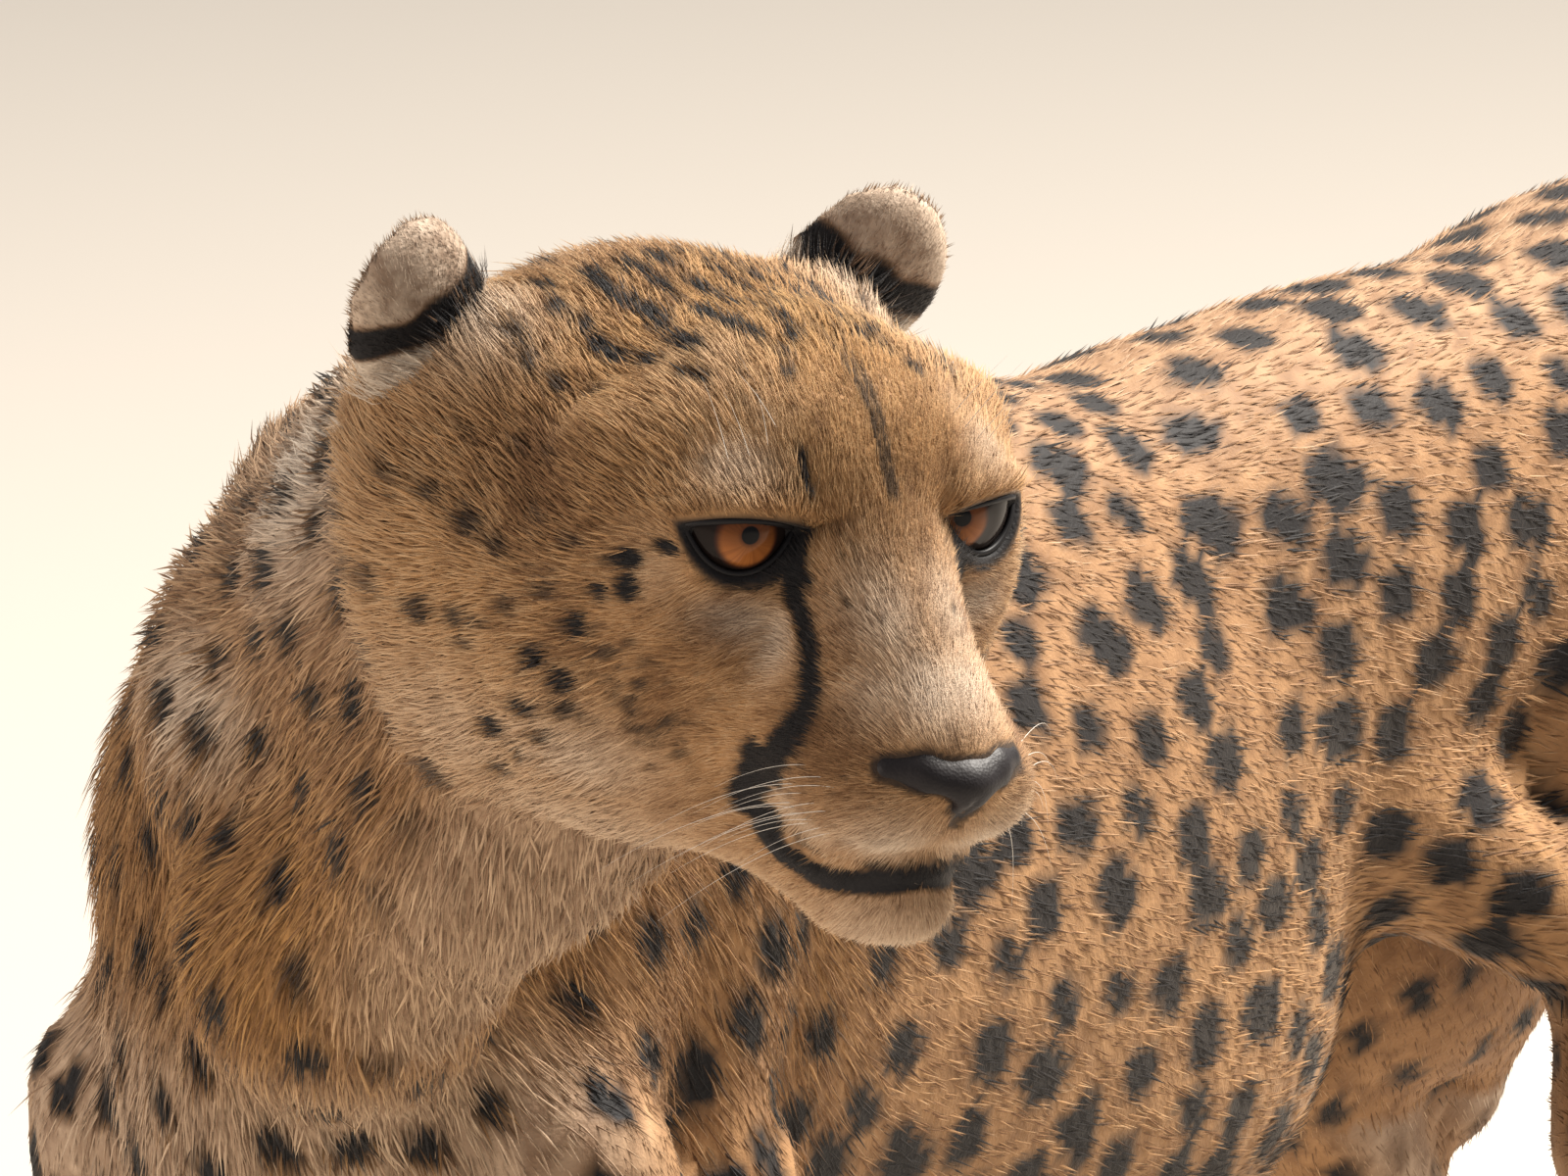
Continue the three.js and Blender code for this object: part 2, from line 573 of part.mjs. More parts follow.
// ---------------------------------------------------------------- ears
// Each ear is a thin cup of gristle whose hollow looks outward and back.
const EAR = { width: 20, height: 23, depth: 12, wall: 4, at: [-169, 65, 45], back: 165, lean: 16 };
const CUP_STEPS = 3;
const CUP_RIM = 0.86;                   // width of the hollow, as a share of the ear's
const cup = [];
for (let i = 0; i <= CUP_STEPS; i++) {
  const a = (Math.PI / 2) * (i / CUP_STEPS);
  cup.push(new THREE.Vector2(Math.sin(a), -Math.cos(a) * EAR.depth));
}
for (let i = CUP_STEPS; i >= 0; i--) {
  const a = (Math.PI / 2) * (i / CUP_STEPS);
  cup.push(new THREE.Vector2(Math.sin(a) * CUP_RIM, -Math.cos(a) * (EAR.depth - EAR.wall) + 0.6));
}
cup.push(cup[0].clone());
for (const [name, side] of SIDES) {
  const frame = headFrame.clone()
    .multiply(new THREE.Matrix4().makeTranslation(EAR.at[0], EAR.at[1] * side, EAR.at[2]))
    .multiply(new THREE.Matrix4().makeRotationZ(radians(side * EAR.back)))
    .multiply(new THREE.Matrix4().makeRotationX(radians(side * EAR.lean)))
    .multiply(new THREE.Matrix4().makeScale(1, EAR.width, EAR.height))
    .multiply(new THREE.Matrix4().makeRotationZ(radians(-90)));
  const lathe = shaped(new THREE.LatheGeometry(cup, 11), frame);
  keep(`ear_${name}`, clearOf(clearOf(lathe, head), neck), paint(COAT.ear));
}

// The origin is on the floor under the middle of the whole animal.
const whole = new THREE.Box3().setFromObject(cheetah);
const middle = whole.getCenter(new THREE.Vector3());
cheetah.position.set(-middle.x, -middle.y, -whole.min.z);
cheetah.updateMatrixWorld(true);

export default cheetah;
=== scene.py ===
# A cheetah at life size, as a still model: standing, with its neck and head turned to its left.
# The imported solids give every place; the skin, coat, eyes, nose, whiskers and claws are made here.
import math

import bmesh
import bpy
import numpy as np
import openvdb
from mathutils import Matrix, Vector
from mathutils.bvhtree import BVHTree
from mathutils.kdtree import KDTree


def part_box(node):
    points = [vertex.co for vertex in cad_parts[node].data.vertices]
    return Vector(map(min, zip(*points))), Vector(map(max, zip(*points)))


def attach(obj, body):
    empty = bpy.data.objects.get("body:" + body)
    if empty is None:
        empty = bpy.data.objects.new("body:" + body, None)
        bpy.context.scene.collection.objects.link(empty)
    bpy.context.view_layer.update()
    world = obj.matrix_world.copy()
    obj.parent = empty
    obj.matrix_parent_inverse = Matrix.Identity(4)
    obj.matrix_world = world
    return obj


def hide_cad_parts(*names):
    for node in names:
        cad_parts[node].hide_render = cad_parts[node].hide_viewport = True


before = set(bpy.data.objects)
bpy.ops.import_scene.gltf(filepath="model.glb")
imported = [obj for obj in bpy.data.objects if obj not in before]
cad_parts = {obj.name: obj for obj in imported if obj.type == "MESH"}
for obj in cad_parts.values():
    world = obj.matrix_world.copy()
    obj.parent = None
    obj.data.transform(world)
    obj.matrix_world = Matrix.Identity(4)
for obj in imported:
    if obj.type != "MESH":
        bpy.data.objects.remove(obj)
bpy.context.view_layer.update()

# ------------------------------------------------------------------ where the animal stands
# The head's own frame is found from the solids of the eyes and the nose: x forward, y to the
# head's left, z up, with its origin at the tip of the nose. The body's frame has its origin on
# the floor under the withers, and is parallel to the frame. Both are in millimetres.
MM = 0.001
EYE_FROM_NOSE = (-65.0, 36.5)       # eyes from the nose pad's middle: forward, up
NOSE_PAD_FROM_TIP = (-12.0, -4.5)
TIP_FROM_WITHERS = np.array([223.0, 320.0, 733.0])


def middle_of(name):
    """Middle of a node's corners, in millimetres."""
    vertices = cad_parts[name].data.vertices
    corners = np.empty(len(vertices) * 3)
    vertices.foreach_get("co", corners)
    return corners.reshape(-1, 3).mean(0) / MM


def unit(v):
    return v / np.maximum(np.linalg.norm(v, axis=-1, keepdims=True), 1e-9)


eyes_at = [middle_of("eye_left"), middle_of("eye_right")]
nose_at = middle_of("nose")
left = unit(eyes_at[0] - eyes_at[1])
rise = unit((eyes_at[0] + eyes_at[1]) / 2 - nose_at)
back, up = np.array(EYE_FROM_NOSE) / math.hypot(*EYE_FROM_NOSE)
rise = unit(rise - left * (rise @ left))
normal = np.cross(rise, left)
forward = back * rise - up * normal
HEAD_TURN = np.stack([forward, left, np.cross(forward, left)])
tip_at = nose_at - HEAD_TURN[0] * NOSE_PAD_FROM_TIP[0] - HEAD_TURN[2] * NOSE_PAD_FROM_TIP[1]
WITHERS = tip_at - TIP_FROM_WITHERS


def to_head(points):
    """Body points as points of the head's frame."""
    return (points - TIP_FROM_WITHERS) @ HEAD_TURN.T


def from_head(points):
    return np.asarray(points, float) @ HEAD_TURN + TIP_FROM_WITHERS


# ------------------------------------------------------------------ camera
# A long lens from in front and to the left of the animal, a little above its head.
CAMERA_FROM_WITHERS = np.array([3265.0, 2475.0, 1469.0])
CAMERA_BEARING = math.radians(126.0)
CAMERA_DROP = math.radians(10.5)
LENS = 381.3
SENSOR = 36.0


def add_camera():
    data = bpy.data.cameras.new("camera")
    data.lens = LENS
    data.sensor_width = SENSOR
    data.clip_start = 0.1
    data.clip_end = 60.0
    camera = bpy.data.objects.new("camera", data)
    camera.location = (CAMERA_FROM_WITHERS + WITHERS) * MM
    towards = (-math.sin(CAMERA_BEARING) * math.cos(CAMERA_DROP),
               math.cos(CAMERA_BEARING) * math.cos(CAMERA_DROP), -math.sin(CAMERA_DROP))
    camera.rotation_euler = Vector(towards).to_track_quat("-Z", "Y").to_euler()
    bpy.context.scene.collection.objects.link(camera)
    bpy.context.scene.camera = camera


add_camera()

# ------------------------------------------------------------------ flesh
# Under the coat, muscle over bone gives one smooth body. Each muscle mass is an egg or a
# tapered limb that melts into its neighbours, as in the solids, with the face and toes finer.
SHOULDER_TOP, SADDLE, CROUP, BRISKET, WAIST, HIP_X = 756, 726, 744, 458, 556, -570
RIB_HALF_WIDTH = 96
SIDES = {"left": 1, "right": -1}
BEND_FROM, BEND = -350, 0.00018


def spine_y(x):
    """The spine bends a little to the left from the loin to the shoulders."""
    return BEND * (np.maximum(x, BEND_FROM) - BEND_FROM) ** 2 - BEND * BEND_FROM ** 2


def smoothstep(low, high, x):
    """0 before low and 1 past high, with a soft change between them."""
    t = np.clip((x - low) / (high - low), 0, 1)
    return t * t * (3 - 2 * t)


def mirrored(place, side):
    """A place or a way of the head's left side, on the side that is asked for."""
    return place * np.array([1, side, 1])


def folded(points):
    """Points of the head's frame, with its right side laid on its left."""
    return points * [1, 0, 1] + np.abs(points) * [0, 1, 0]


def egg(centre, radii, fillet=40.0, lean=0.0):
    """A mass with three radii, tipped by lean degrees in the side view, and its fillet."""
    centre, radii = np.array(centre, float), np.array(radii, float)
    c, s = math.cos(math.radians(lean)), math.sin(math.radians(lean))
    turn = np.array([[c, 0, s], [0, 1, 0], [-s, 0, c]])

    def distance(points):
        local = (points - centre) @ turn
        k0 = np.linalg.norm(local / radii, axis=1)
        k1 = np.linalg.norm(local / radii ** 2, axis=1)
        return np.where(k1 < 1e-9, -radii.min(), k0 * (k0 - 1) / np.maximum(k1, 1e-9))
    return distance, fillet


def limb(start, end, r0, r1, fillet=25.0):
    """A straight mass with round ends that tapers from one radius to another."""
    start, along = np.array(start, float), np.array(end, float) - np.array(start, float)

    def distance(points):
        local = points - start
        t = np.clip(local @ along / (along @ along), 0, 1)
        return np.linalg.norm(local - t[:, None] * along, axis=1) - (r0 + (r1 - r0) * t)
    return distance, fillet


def chain(joints, fillet):
    """Limbs from joint to joint; a joint is a place and a radius."""
    return [limb(a[:3], b[:3], a[3], b[3], fillet) for a, b in zip(joints, joints[1:])]


def soften(a, b, fillet):
    """The nearer of two distances, with a fillet where they meet."""
    overlap = np.maximum(fillet - np.abs(a - b), 0) / fillet
    return np.minimum(a, b) - overlap ** 2 * fillet / 4


def melt(masses, points):
    """Distance to masses that run into each other, each with its own fillet."""
    near = masses[0][0](points)
    for distance, fillet in masses[1:]:
        near = soften(near, distance(points), fillet)
    return near


trunk_masses = [
    egg([-178, 0, (SADDLE + BRISKET) / 2 + 6], [250, RIB_HALF_WIDTH - 12, 134], 16),
    egg([-250, 0, BRISKET + 77], [154, 67, 70], 24),
    egg([-30, 0, 508], [115, 48, 46], 20),
    egg([26, 0, 594], [98, 66, 112], 26),
    *chain([[-40, 0, 686, 50], [-330, 0, SADDLE - 54, 48], [HIP_X, 0, CROUP - 60, 54]], 20),
    egg([-405, 0, (SADDLE + WAIST) / 2 + 4], [165, 66, 82], 24),
    egg([HIP_X, 0, 662], [108, 74, 76], 24),
    egg([-12, 0, SHOULDER_TOP - 46], [95, 40, 44], 20)]
for side in SIDES.values():
    trunk_masses += [
        limb([-14, 34 * side, 708], [56, 58 * side, 576], 32, 34, 18),
        limb([-22, 54 * side, 650], [2, 70 * side, 500], 30, 28, 8),
        egg([-612, 38 * side, 668], [58, 40, 66], 20),
        limb([-392, 34 * side, 590], [-450, 58 * side, 556], 30, 26, 20)]

# Each leg stands at its own place in the stride; the joints run from the body to the toes.
FORE_STRIDE = {"left": -22, "right": 26}
HIND_STRIDE = {"left": 36, "right": -26}
FORE_TRACK, HIND_TRACK = 74, 72
PAW_LENGTH, PAW_HEIGHT = 92, 46
TOES = (-22.7, -8.6, 8.6, 22.7)
TOE_REACH = (-9, 0, 0, -9)
TOE_AHEAD = PAW_LENGTH * 0.3
feet, leg_masses = {}, []


def paw_masses(x, y):
    toes = [egg([x + TOE_AHEAD + reach, y + across, 14], [24, 9.6, 17], 5)
            for across, reach in zip(TOES, TOE_REACH)]
    return [egg([x, y, 22], [PAW_LENGTH * 0.4, 27, PAW_HEIGHT / 2], 18),
            egg([x - 14, y, 14], [25, 22, 18], 14), *toes]


for name, side in SIDES.items():
    step = FORE_STRIDE[name]
    feet["fore", name] = foot = (62 + step * 1.6, FORE_TRACK * side)
    leg_masses += chain([
        [54, 62 * side, 580, 35], [2 + step * 0.7, 75 * side, 450, 34],
        [20 + step * 1.2, 77 * side, 320, 28], [24 + step * 1.5, 75 * side, 205, 21],
        [22 + step * 1.6, 75 * side, 170, 22.5], [36 + step * 1.6, 74 * side, 60, 19.5],
        [foot[0] - 8, foot[1], 30, 21]], 12)
    leg_masses.append(limb([-12 + step * 0.4, 66 * side, 560],
                           [-16 + step * 0.7, 74 * side, 452], 27, 22, 12))
    leg_masses += paw_masses(*foot)
    step = HIND_STRIDE[name]
    feet["hind", name] = foot = (-600 + step * 1.9, HIND_TRACK * side)
    leg_masses += [
        egg([-540 + step * 0.2, 50 * side, 590], [84, 38, 118], 20, 12),
        limb([-522, 58 * side, 620], [-484 + step * 0.6, 82 * side, 494], 44, 32, 20),
        limb([-622, 48 * side, 655], [-572 + step * 0.5, 72 * side, 470], 42, 25, 20),
        limb([-504 + step * 0.6, 80 * side, 492], [-594 + step, 76 * side, 345], 33, 24, 16),
        limb([-576 + step, 76 * side, 390], [-664 + step * 1.6, 74 * side, 262], 22, 12, 12),
        *chain([[-594 + step, 76 * side, 345, 23], [-656 + step * 1.6, 74 * side, 254, 18],
                [-642 + step * 1.8, 73 * side, 150, 16.5], [foot[0] - 34, foot[1], 62, 18],
                [foot[0] - 8, foot[1], 30, 20]], 10)]
    leg_masses += paw_masses(*foot)

# The tail hangs from the rump and curls up at its end; x, z and radius at each bend.
TAIL = np.array([
    [-640, 690, 33], [-690, 668, 28.5], [-738, 612, 25.5], [-772, 520, 23.5], [-800, 420, 22],
    [-834, 325, 22], [-888, 250, 23], [-955, 218, 23], [-1016, 232, 19], [-1046, 251, 12]], float)
TAIL_SWAY = 42
tail_share = np.arange(len(TAIL)) / (len(TAIL) - 1)
tail_joints = np.column_stack([TAIL[:, 0], TAIL_SWAY * tail_share ** 2, TAIL[:, 1:]])
tail_masses = chain(tail_joints.tolist(), 10)

nape, jowl, skull_base = from_head([[-182, 0, 8], [-112, 0, -26], [-150, 0, 0]])
neck_masses = [
    *chain([[-50, -2, 640, 84], [42, 12, 660, 74], [108, 62, 706, 62],
            [146, 120, 746, 56], [*skull_base, 50]], 20),
    *chain([[-20, 0, 696, 42], [72, 30, 738, 38], [128, 92, 767, 35], [*nape, 36]], 18),
    *chain([[72, 14, 604, 44], [138, 72, 652, 42], [172, 142, 700, 40], [*jowl, 34]], 20)]

# The head, in its own frame.
EYE_AT = np.array([-77.0, 29.5, 32.0])
EYE_RADIUS = 17.0
head_masses = [
    egg([-132, 0, 4], [68, 63, 55.5], 12),                # braincase
    egg([-99, 0, 37], [38, 43, 30], 14),                  # forehead
    limb([-90, 0, 35], [-22, 0, -4], 27.5, 18.5, 24),     # bridge of the nose
    egg([-40, 0, -8], [36, 27, 20], 10),                  # upper jaw
    egg([-64, 0, -10], [34, 33, 31], 12),
    egg([-25, 0, -40], [18, 14, 12], 8),                  # chin
    egg([-37, 0, -29], [27, 23, 11], 4)]                  # lining of the mouth
for side in SIDES.values():
    head_masses += [
        egg([-27, 14 * side, -12], [21, 17, 14], 8),      # whisker pad
        egg([-112, 35 * side, -8], [43, 31, 39], 24),     # cheek
        egg([-88, 34 * side, 10], [26, 17, 16], 18),      # cheekbone
        limb([-80, 15 * side, 47], [-98, 45 * side, 40], 13, 12, 16),      # brow
        egg(mirrored(EYE_AT, side), [EYE_RADIUS + 2.2] * 3, 9),
        egg([-94, 44 * side, 20], [24, 14, 17], 14),      # outer corner of the eye
        egg([-158, 47 * side, 28], [24, 20, 22], 18),     # root of the ear
        limb([-122, 27 * side, -28], [-34, 7 * side, -40], 27, 10, 16)]

# Each ear is a shallow cup turned back, so that its furred back looks forward.
EAR_AT = np.array([-169.0, 65.0, 45.0])
EAR_RADII = np.array([12.0, 20.0, 23.0])
EAR_BACK, EAR_LEAN = math.radians(165), math.radians(16)
EAR_HOLLOW, EAR_FILLET = 7.5, 7.0


def ear_turn(side):
    return np.array(Matrix.Rotation(side * EAR_BACK, 3, "Z") @ Matrix.Rotation(side * EAR_LEAN, 3, "X"))


def ear_local(points, side):
    """Points of the head's frame from the ear's middle: out of the hollow, across, up."""
    return (points - mirrored(EAR_AT, side)) @ ear_turn(side)


def ear_distance(points, side):
    """Distance to the ear's cup, which is cut off flat behind."""
    local = ear_local(points, side)
    cup = egg([0, 0, 0], EAR_RADII)[0](local)
    return np.maximum(cup, local[:, 0] - 1.0)


# Grooves drawn on the flesh: a path, its width and its depth, in millimetres.
MOUTH = [[-8, 0, -27], [-14, 9, -28.5], [-27, 18, -30.5], [-41, 25, -30], [-53, 29.5, -27],
         [-60, 32, -23]]
FACE_GROOVES = [
    (MOUTH, 2.4, 2.0),
    ([[-4, 0, -12], [-7, 0, -26]], 1.8, 2.4),                              # split of the lip
    ([[-62, 16, 26], [-52, 23, 10], [-50, 28, -6], [-56, 31, -20]], 4.0, 1.4),  # tear trough
    ([[-70, 9, 52], [-92, 12, 66]], 7.0, 1.2)]                             # beside the bridge


def path_distance(points, path):
    """Distance to a run of straight lines."""
    path = np.asarray(path, float)
    near = np.full(len(points), np.inf)
    for a, b in zip(path, path[1:]):
        t = np.clip((points - a) @ (b - a) / max((b - a) @ (b - a), 1e-9), 0, 1)
        near = np.minimum(near, np.linalg.norm(points - a - t[:, None] * (b - a), axis=1))
    return near


def carved(points, lines):
    """How much deeper the flesh lies for the grooves; both sides of the face are alike."""
    depth, near_side = np.zeros(len(points)), folded(points)
    for path, width, amount in lines:
        depth += amount * np.exp(-(path_distance(near_side, path) / width) ** 2)
    return depth


# The lids open in a half moon, nearly straight above and deep below, drawn on the eyeball.
LID_TURN_OUT, LID_RISE, LID_SLOPE = math.radians(18), math.radians(4), math.radians(-3)
LID_LENGTH, LID_CORNER, LID_UP, LID_DOWN = 14.0, 2.2, 3.4, 9.8
LID_SQUEEZE, BEHIND_LIDS = 0.8, 99.0
SOCKET_DEPTH, LID_FILLET = 2.4, 1.6


def lid_axes(side):
    """The opening's own axes in the head's frame: out of the eye, to the outer corner, up."""
    turn = (Matrix.Rotation(side * LID_TURN_OUT, 3, "Z") @ Matrix.Rotation(-LID_RISE, 3, "Y")
            @ Matrix.Rotation(side * LID_SLOPE, 3, "X"))
    return np.array(turn).T * np.array([[1], [side], [1]])


def lid_opening(points, side):
    """How far points lie outside the opening of the lids, in millimetres on the eyeball and
    below zero inside it, and how far they are from the eye's middle."""
    local = (points - mirrored(EYE_AT, side)) @ lid_axes(side).T
    reach = np.maximum(np.linalg.norm(local, axis=1), 1e-6)
    across = EYE_RADIUS * np.arcsin(np.clip(local[:, 1] / reach, -1, 1))
    rise = EYE_RADIUS * np.arcsin(np.clip(local[:, 2] / reach, -1, 1))
    arch = 1 - np.minimum(np.abs(across) / LID_LENGTH, 1.5) ** 2
    off = np.maximum(rise - LID_CORNER - LID_UP * arch, LID_CORNER - LID_DOWN * arch - rise)
    return np.where(local[:, 0] > 0, off * LID_SQUEEZE, BEHIND_LIDS), reach


def head_flesh(points):
    """Distance to the head's flesh for points of the head's frame."""
    near = melt(head_masses, points)
    for side in SIDES.values():
        near = soften(near, ear_distance(points, side), EAR_FILLET)
    near += carved(points, FACE_GROOVES)
    for side in SIDES.values():
        opening, reach = lid_opening(points, side)
        hole = np.maximum(opening, EYE_RADIUS - SOCKET_DEPTH - reach)
        near = -soften(-near, hole, LID_FILLET)
    return near


FAR = 400.0
HEAD_REACH = 250                    # from the base of the skull to beyond the nose
LIMB_FILLET, NECK_FILLET = 14, 36


def where_near(distance, points, close):
    """A distance worked out only for the points that are close, and far for the others."""
    found = np.full(len(points), FAR)
    found[close] = distance(points[close])
    return found


def flesh(points):
    """Distances to the whole flesh, and to the head, neck, trunk, legs and tail alone."""
    x, y, z = points.T
    straight = np.column_stack([x, y - spine_y(x), z])
    by_head = np.linalg.norm(points - skull_base, axis=1) < HEAD_REACH
    head = where_near(head_flesh, to_head(points), by_head)
    neck = where_near(lambda p: melt(neck_masses, p), points, (x > -180) & (z > 480))
    trunk = where_near(lambda p: melt(trunk_masses, p), straight, (x > -760) & (z > 400) & (y < 200))
    legs = where_near(lambda p: melt(leg_masses, p), straight, (z < 740) & (x > -760) & (y < 150))
    tail = where_near(lambda p: melt(tail_masses, p), straight, x < -560)
    body = soften(soften(trunk, legs, LIMB_FILLET), tail, LIMB_FILLET)
    place = to_head(points)
    under_skull = smoothstep(-100, -140, place[:, 0]) * smoothstep(35, 0, place[:, 2])
    whole = soften(soften(body, neck, NECK_FILLET), head, NECK_FILLET + NECK_FILLET * under_skull)
    return whole, {"head": head, "neck": neck, "trunk": trunk, "legs": legs, "tail": tail}


# ------------------------------------------------------------------ skin
# One hide covers the whole animal without a seam. It lies under the tips of the fur by the
# coat's depth, and is finer on the face, the head and the paws than on the trunk.
HIDE_VOXEL = 5.7
CAST_SPREAD = 0.5                   # how far each solid is swelled so that neighbours run together
SMOOTH_ROUNDS, FIT_ROUNDS, LONGEST_STEP = 3, 6, 6
FLESH_NODES = ["trunk", "neck", "head", "tail_base", "tail_tip"]
for side in SIDES:
    FLESH_NODES += [f"{part}_{side}" for part in
                    ("foreleg", "forepaw", "thigh", "hind_leg", "hindpaw", "ear")]
PLUGS = [  # fill the mouth, the root of the nose and the ears' hollows in the cast: place, radii
    ([-33, 0, -29], [28, 26, 7]), ([-84, 0, 42], [18, 20, 18]), ([-68, 0, 34], [14, 18, 14]),
    *[(mirrored(EAR_AT, side), [8, 16, 19]) for side in SIDES.values()]]


def cast_of_solids():
    """One closed mesh round all the solids of flesh, from which the hide is worked."""
    joined = bmesh.new()
    for name in FLESH_NODES + ["eye_left", "eye_right", "nose"]:
        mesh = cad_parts[name].data.copy()
        mesh.transform(Matrix.Scale(1 / MM, 4))
        part = bmesh.new()
        part.from_mesh(mesh)
        bmesh.ops.remove_doubles(part, verts=part.verts, dist=0.01)
        part.normal_update()
        for v in part.verts:
            v.co += v.normal * CAST_SPREAD
        part.to_mesh(mesh)
        part.free()
        joined.from_mesh(mesh)
        bpy.data.meshes.remove(mesh)
    for place, radii in PLUGS:
        turn = Matrix(HEAD_TURN.T).to_4x4()
        turn.translation = Vector(from_head(place) + WITHERS)
        bmesh.ops.create_icosphere(joined, subdivisions=3, radius=1.0,
                                   matrix=turn @ Matrix.Diagonal((*radii, 1)))
    mesh = bpy.data.meshes.new("cast")
    joined.to_mesh(mesh)
    joined.free()
    cast = bpy.data.objects.new("cast", mesh)
    bpy.context.scene.collection.objects.link(cast)
    remesh = cast.modifiers.new("remesh", "REMESH")
    remesh.mode = "VOXEL"
    remesh.voxel_size = HIDE_VOXEL
    bpy.context.view_layer.update()
    made = bpy.data.meshes.new_from_object(
        cast.evaluated_get(bpy.context.evaluated_depsgraph_get()))
    bpy.data.objects.remove(cast)
    return made


def keep_outer_shell(mesh):
    """Drops everything but the largest connected piece."""
    shell = bmesh.new()
    shell.from_mesh(mesh)
    shell.verts.ensure_lookup_table()
    label, sizes = [-1] * len(shell.verts), []
    for seed in shell.verts:
        if label[seed.index] >= 0:
            continue
        stack, label[seed.index], count = [seed], len(sizes), 0
        while stack:
            v = stack.pop()
            count += 1
            for edge in v.link_edges:
                other = edge.other_vert(v)
                if label[other.index] < 0:
                    label[other.index] = len(sizes)
                    stack.append(other)
        sizes.append(count)
    largest = sizes.index(max(sizes))
    spare = [v for v in shell.verts if label[v.index] != largest]
    bmesh.ops.delete(shell, geom=spare, context="VERTS")
    return shell


def split_faces(mesh, wanted):
    """Halves the edges of the faces whose middles are wanted."""
    mesh.faces.ensure_lookup_table()
    centres = np.array([f.calc_center_median() for f in mesh.faces])
    chosen = wanted(centres - WITHERS)
    edges = {e for f, yes in zip(mesh.faces, chosen) if yes for e in f.edges}
    bmesh.ops.subdivide_edges(mesh, edges=list(edges), cuts=1, use_grid_fill=True)


def on_head(points):
    """The head with its ears, without the neck."""
    place = to_head(points)
    return (place[:, 0] > -186) & (np.abs(place[:, 1]) < 110) & (np.abs(place[:, 2]) < 110)


def on_face(points):
    """The muzzle, the lids and the ears."""
    place = folded(to_head(points))
    by_eye = np.linalg.norm(place - EYE_AT, axis=1) < 29
    by_ear = np.linalg.norm(place - EAR_AT, axis=1) < 30
    return ((place[:, 0] > -64) & (place[:, 1] < 50) | by_eye | by_ear) & on_head(points)


def share_of_neck(parts):
    """1 on the neck, 0 on the rest of the body, with a soft change at the shoulders."""
    return smoothstep(34, -30, parts["neck"] - parts["trunk"]) * smoothstep(80, 40, parts["neck"])


def coat_depth(points, parts):
    """How deep the skin lies under the tips of the fur, in millimetres."""
    place = to_head(points)
    depth = 5.0 + 3.0 * smoothstep(540, 470, points[:, 2])          # back and flank; belly
    depth = np.where(parts["legs"] < parts["trunk"] - 4, 3.0, depth)
    depth -= 1.4 * smoothstep(120, 60, points[:, 2])                # paws
    depth += (8.0 - depth) * share_of_neck(parts)
    head = smoothstep(14, -10, parts["head"] - parts["neck"])
    face = 1.2 + 3.6 * smoothstep(-96, -140, place[:, 0]) + 0.8 * smoothstep(-40, -90, place[:, 0])
    depth += (face - depth) * head
    for side in SIDES.values():
        ear = smoothstep(5, -1, ear_distance(place, side))
        depth += (1.0 - depth) * ear * (np.abs(place[:, 1]) > 30)
        opening, reach = lid_opening(place, side)
        lid = smoothstep(5, 1, opening) * smoothstep(EYE_RADIUS + 9, EYE_RADIUS + 5, reach)
        depth += (0.2 - depth) * lid
    return depth


def press_ears(points):
    """Presses the hollow into the back of each ear."""
    place = to_head(points)
    for side in SIDES.values():
        out, across, up = ear_local(place, side).T
        spread = (across / (EAR_RADII[1] - 3.0)) ** 2 + ((up - 1) / (EAR_RADII[2] - 3.5)) ** 2
        inside = (spread < 1) & (out > -4) & (out < 8)
        depth = EAR_HOLLOW * np.sqrt(np.clip(1 - spread, 0, 1))
        place = place - np.where(inside, depth, 0)[:, None] * ear_turn(side)[:, 0]
    return from_head(place)


def work_hide():
    """The cast split finer where needed, then drawn on to the flesh and evened out."""
    hide = keep_outer_shell(cast_of_solids())
    split_faces(hide, lambda p: on_head(p) | (p[:, 2] < 72))
    split_faces(hide, on_face)
    mesh = bpy.data.meshes.new("skin")
    hide.to_mesh(mesh)
    hide.free()
    count = len(mesh.vertices)
    points, edges = np.empty(count * 3), np.empty(len(mesh.edges) * 2, int)
    mesh.vertices.foreach_get("co", points)
    mesh.edges.foreach_get("vertices", edges)
    points, edges = points.reshape(-1, 3) - WITHERS, edges.reshape(-1, 2)
    valence = np.bincount(edges.ravel(), minlength=count)[:, None]
    ends = [np.concatenate([edges[:, 0], edges[:, 1]]), np.concatenate([edges[:, 1], edges[:, 0]])]

    def mean_of_neighbours(values):
        return np.stack([np.bincount(ends[0], values[ends[1], a], count) for a in range(3)],
                        axis=1) / valence

    for _ in range(SMOOTH_ROUNDS):
        points += 0.5 * (mean_of_neighbours(points) - points)
    for _ in range(FIT_ROUNDS):
        value, parts = flesh(points)
        slope = np.stack([flesh(points + 0.5 * axis)[0] - value for axis in np.eye(3)], axis=1) / 0.5
        steep = np.maximum((slope ** 2).sum(1), 0.25)
        step = (value + coat_depth(points, parts)) / steep
        points -= slope * np.clip(step, -LONGEST_STEP, LONGEST_STEP)[:, None]
        drift = mean_of_neighbours(points) - points
        across = unit(slope)
        points += 0.6 * (drift - across * (drift * across).sum(1)[:, None])
    points[:, 2] = np.maximum(points[:, 2], 0)      # the soles lie flat on the floor
    points = press_ears(points)
    mesh.vertices.foreach_set("co", ((points + WITHERS) * MM).ravel())
    mesh.update()
    return mesh


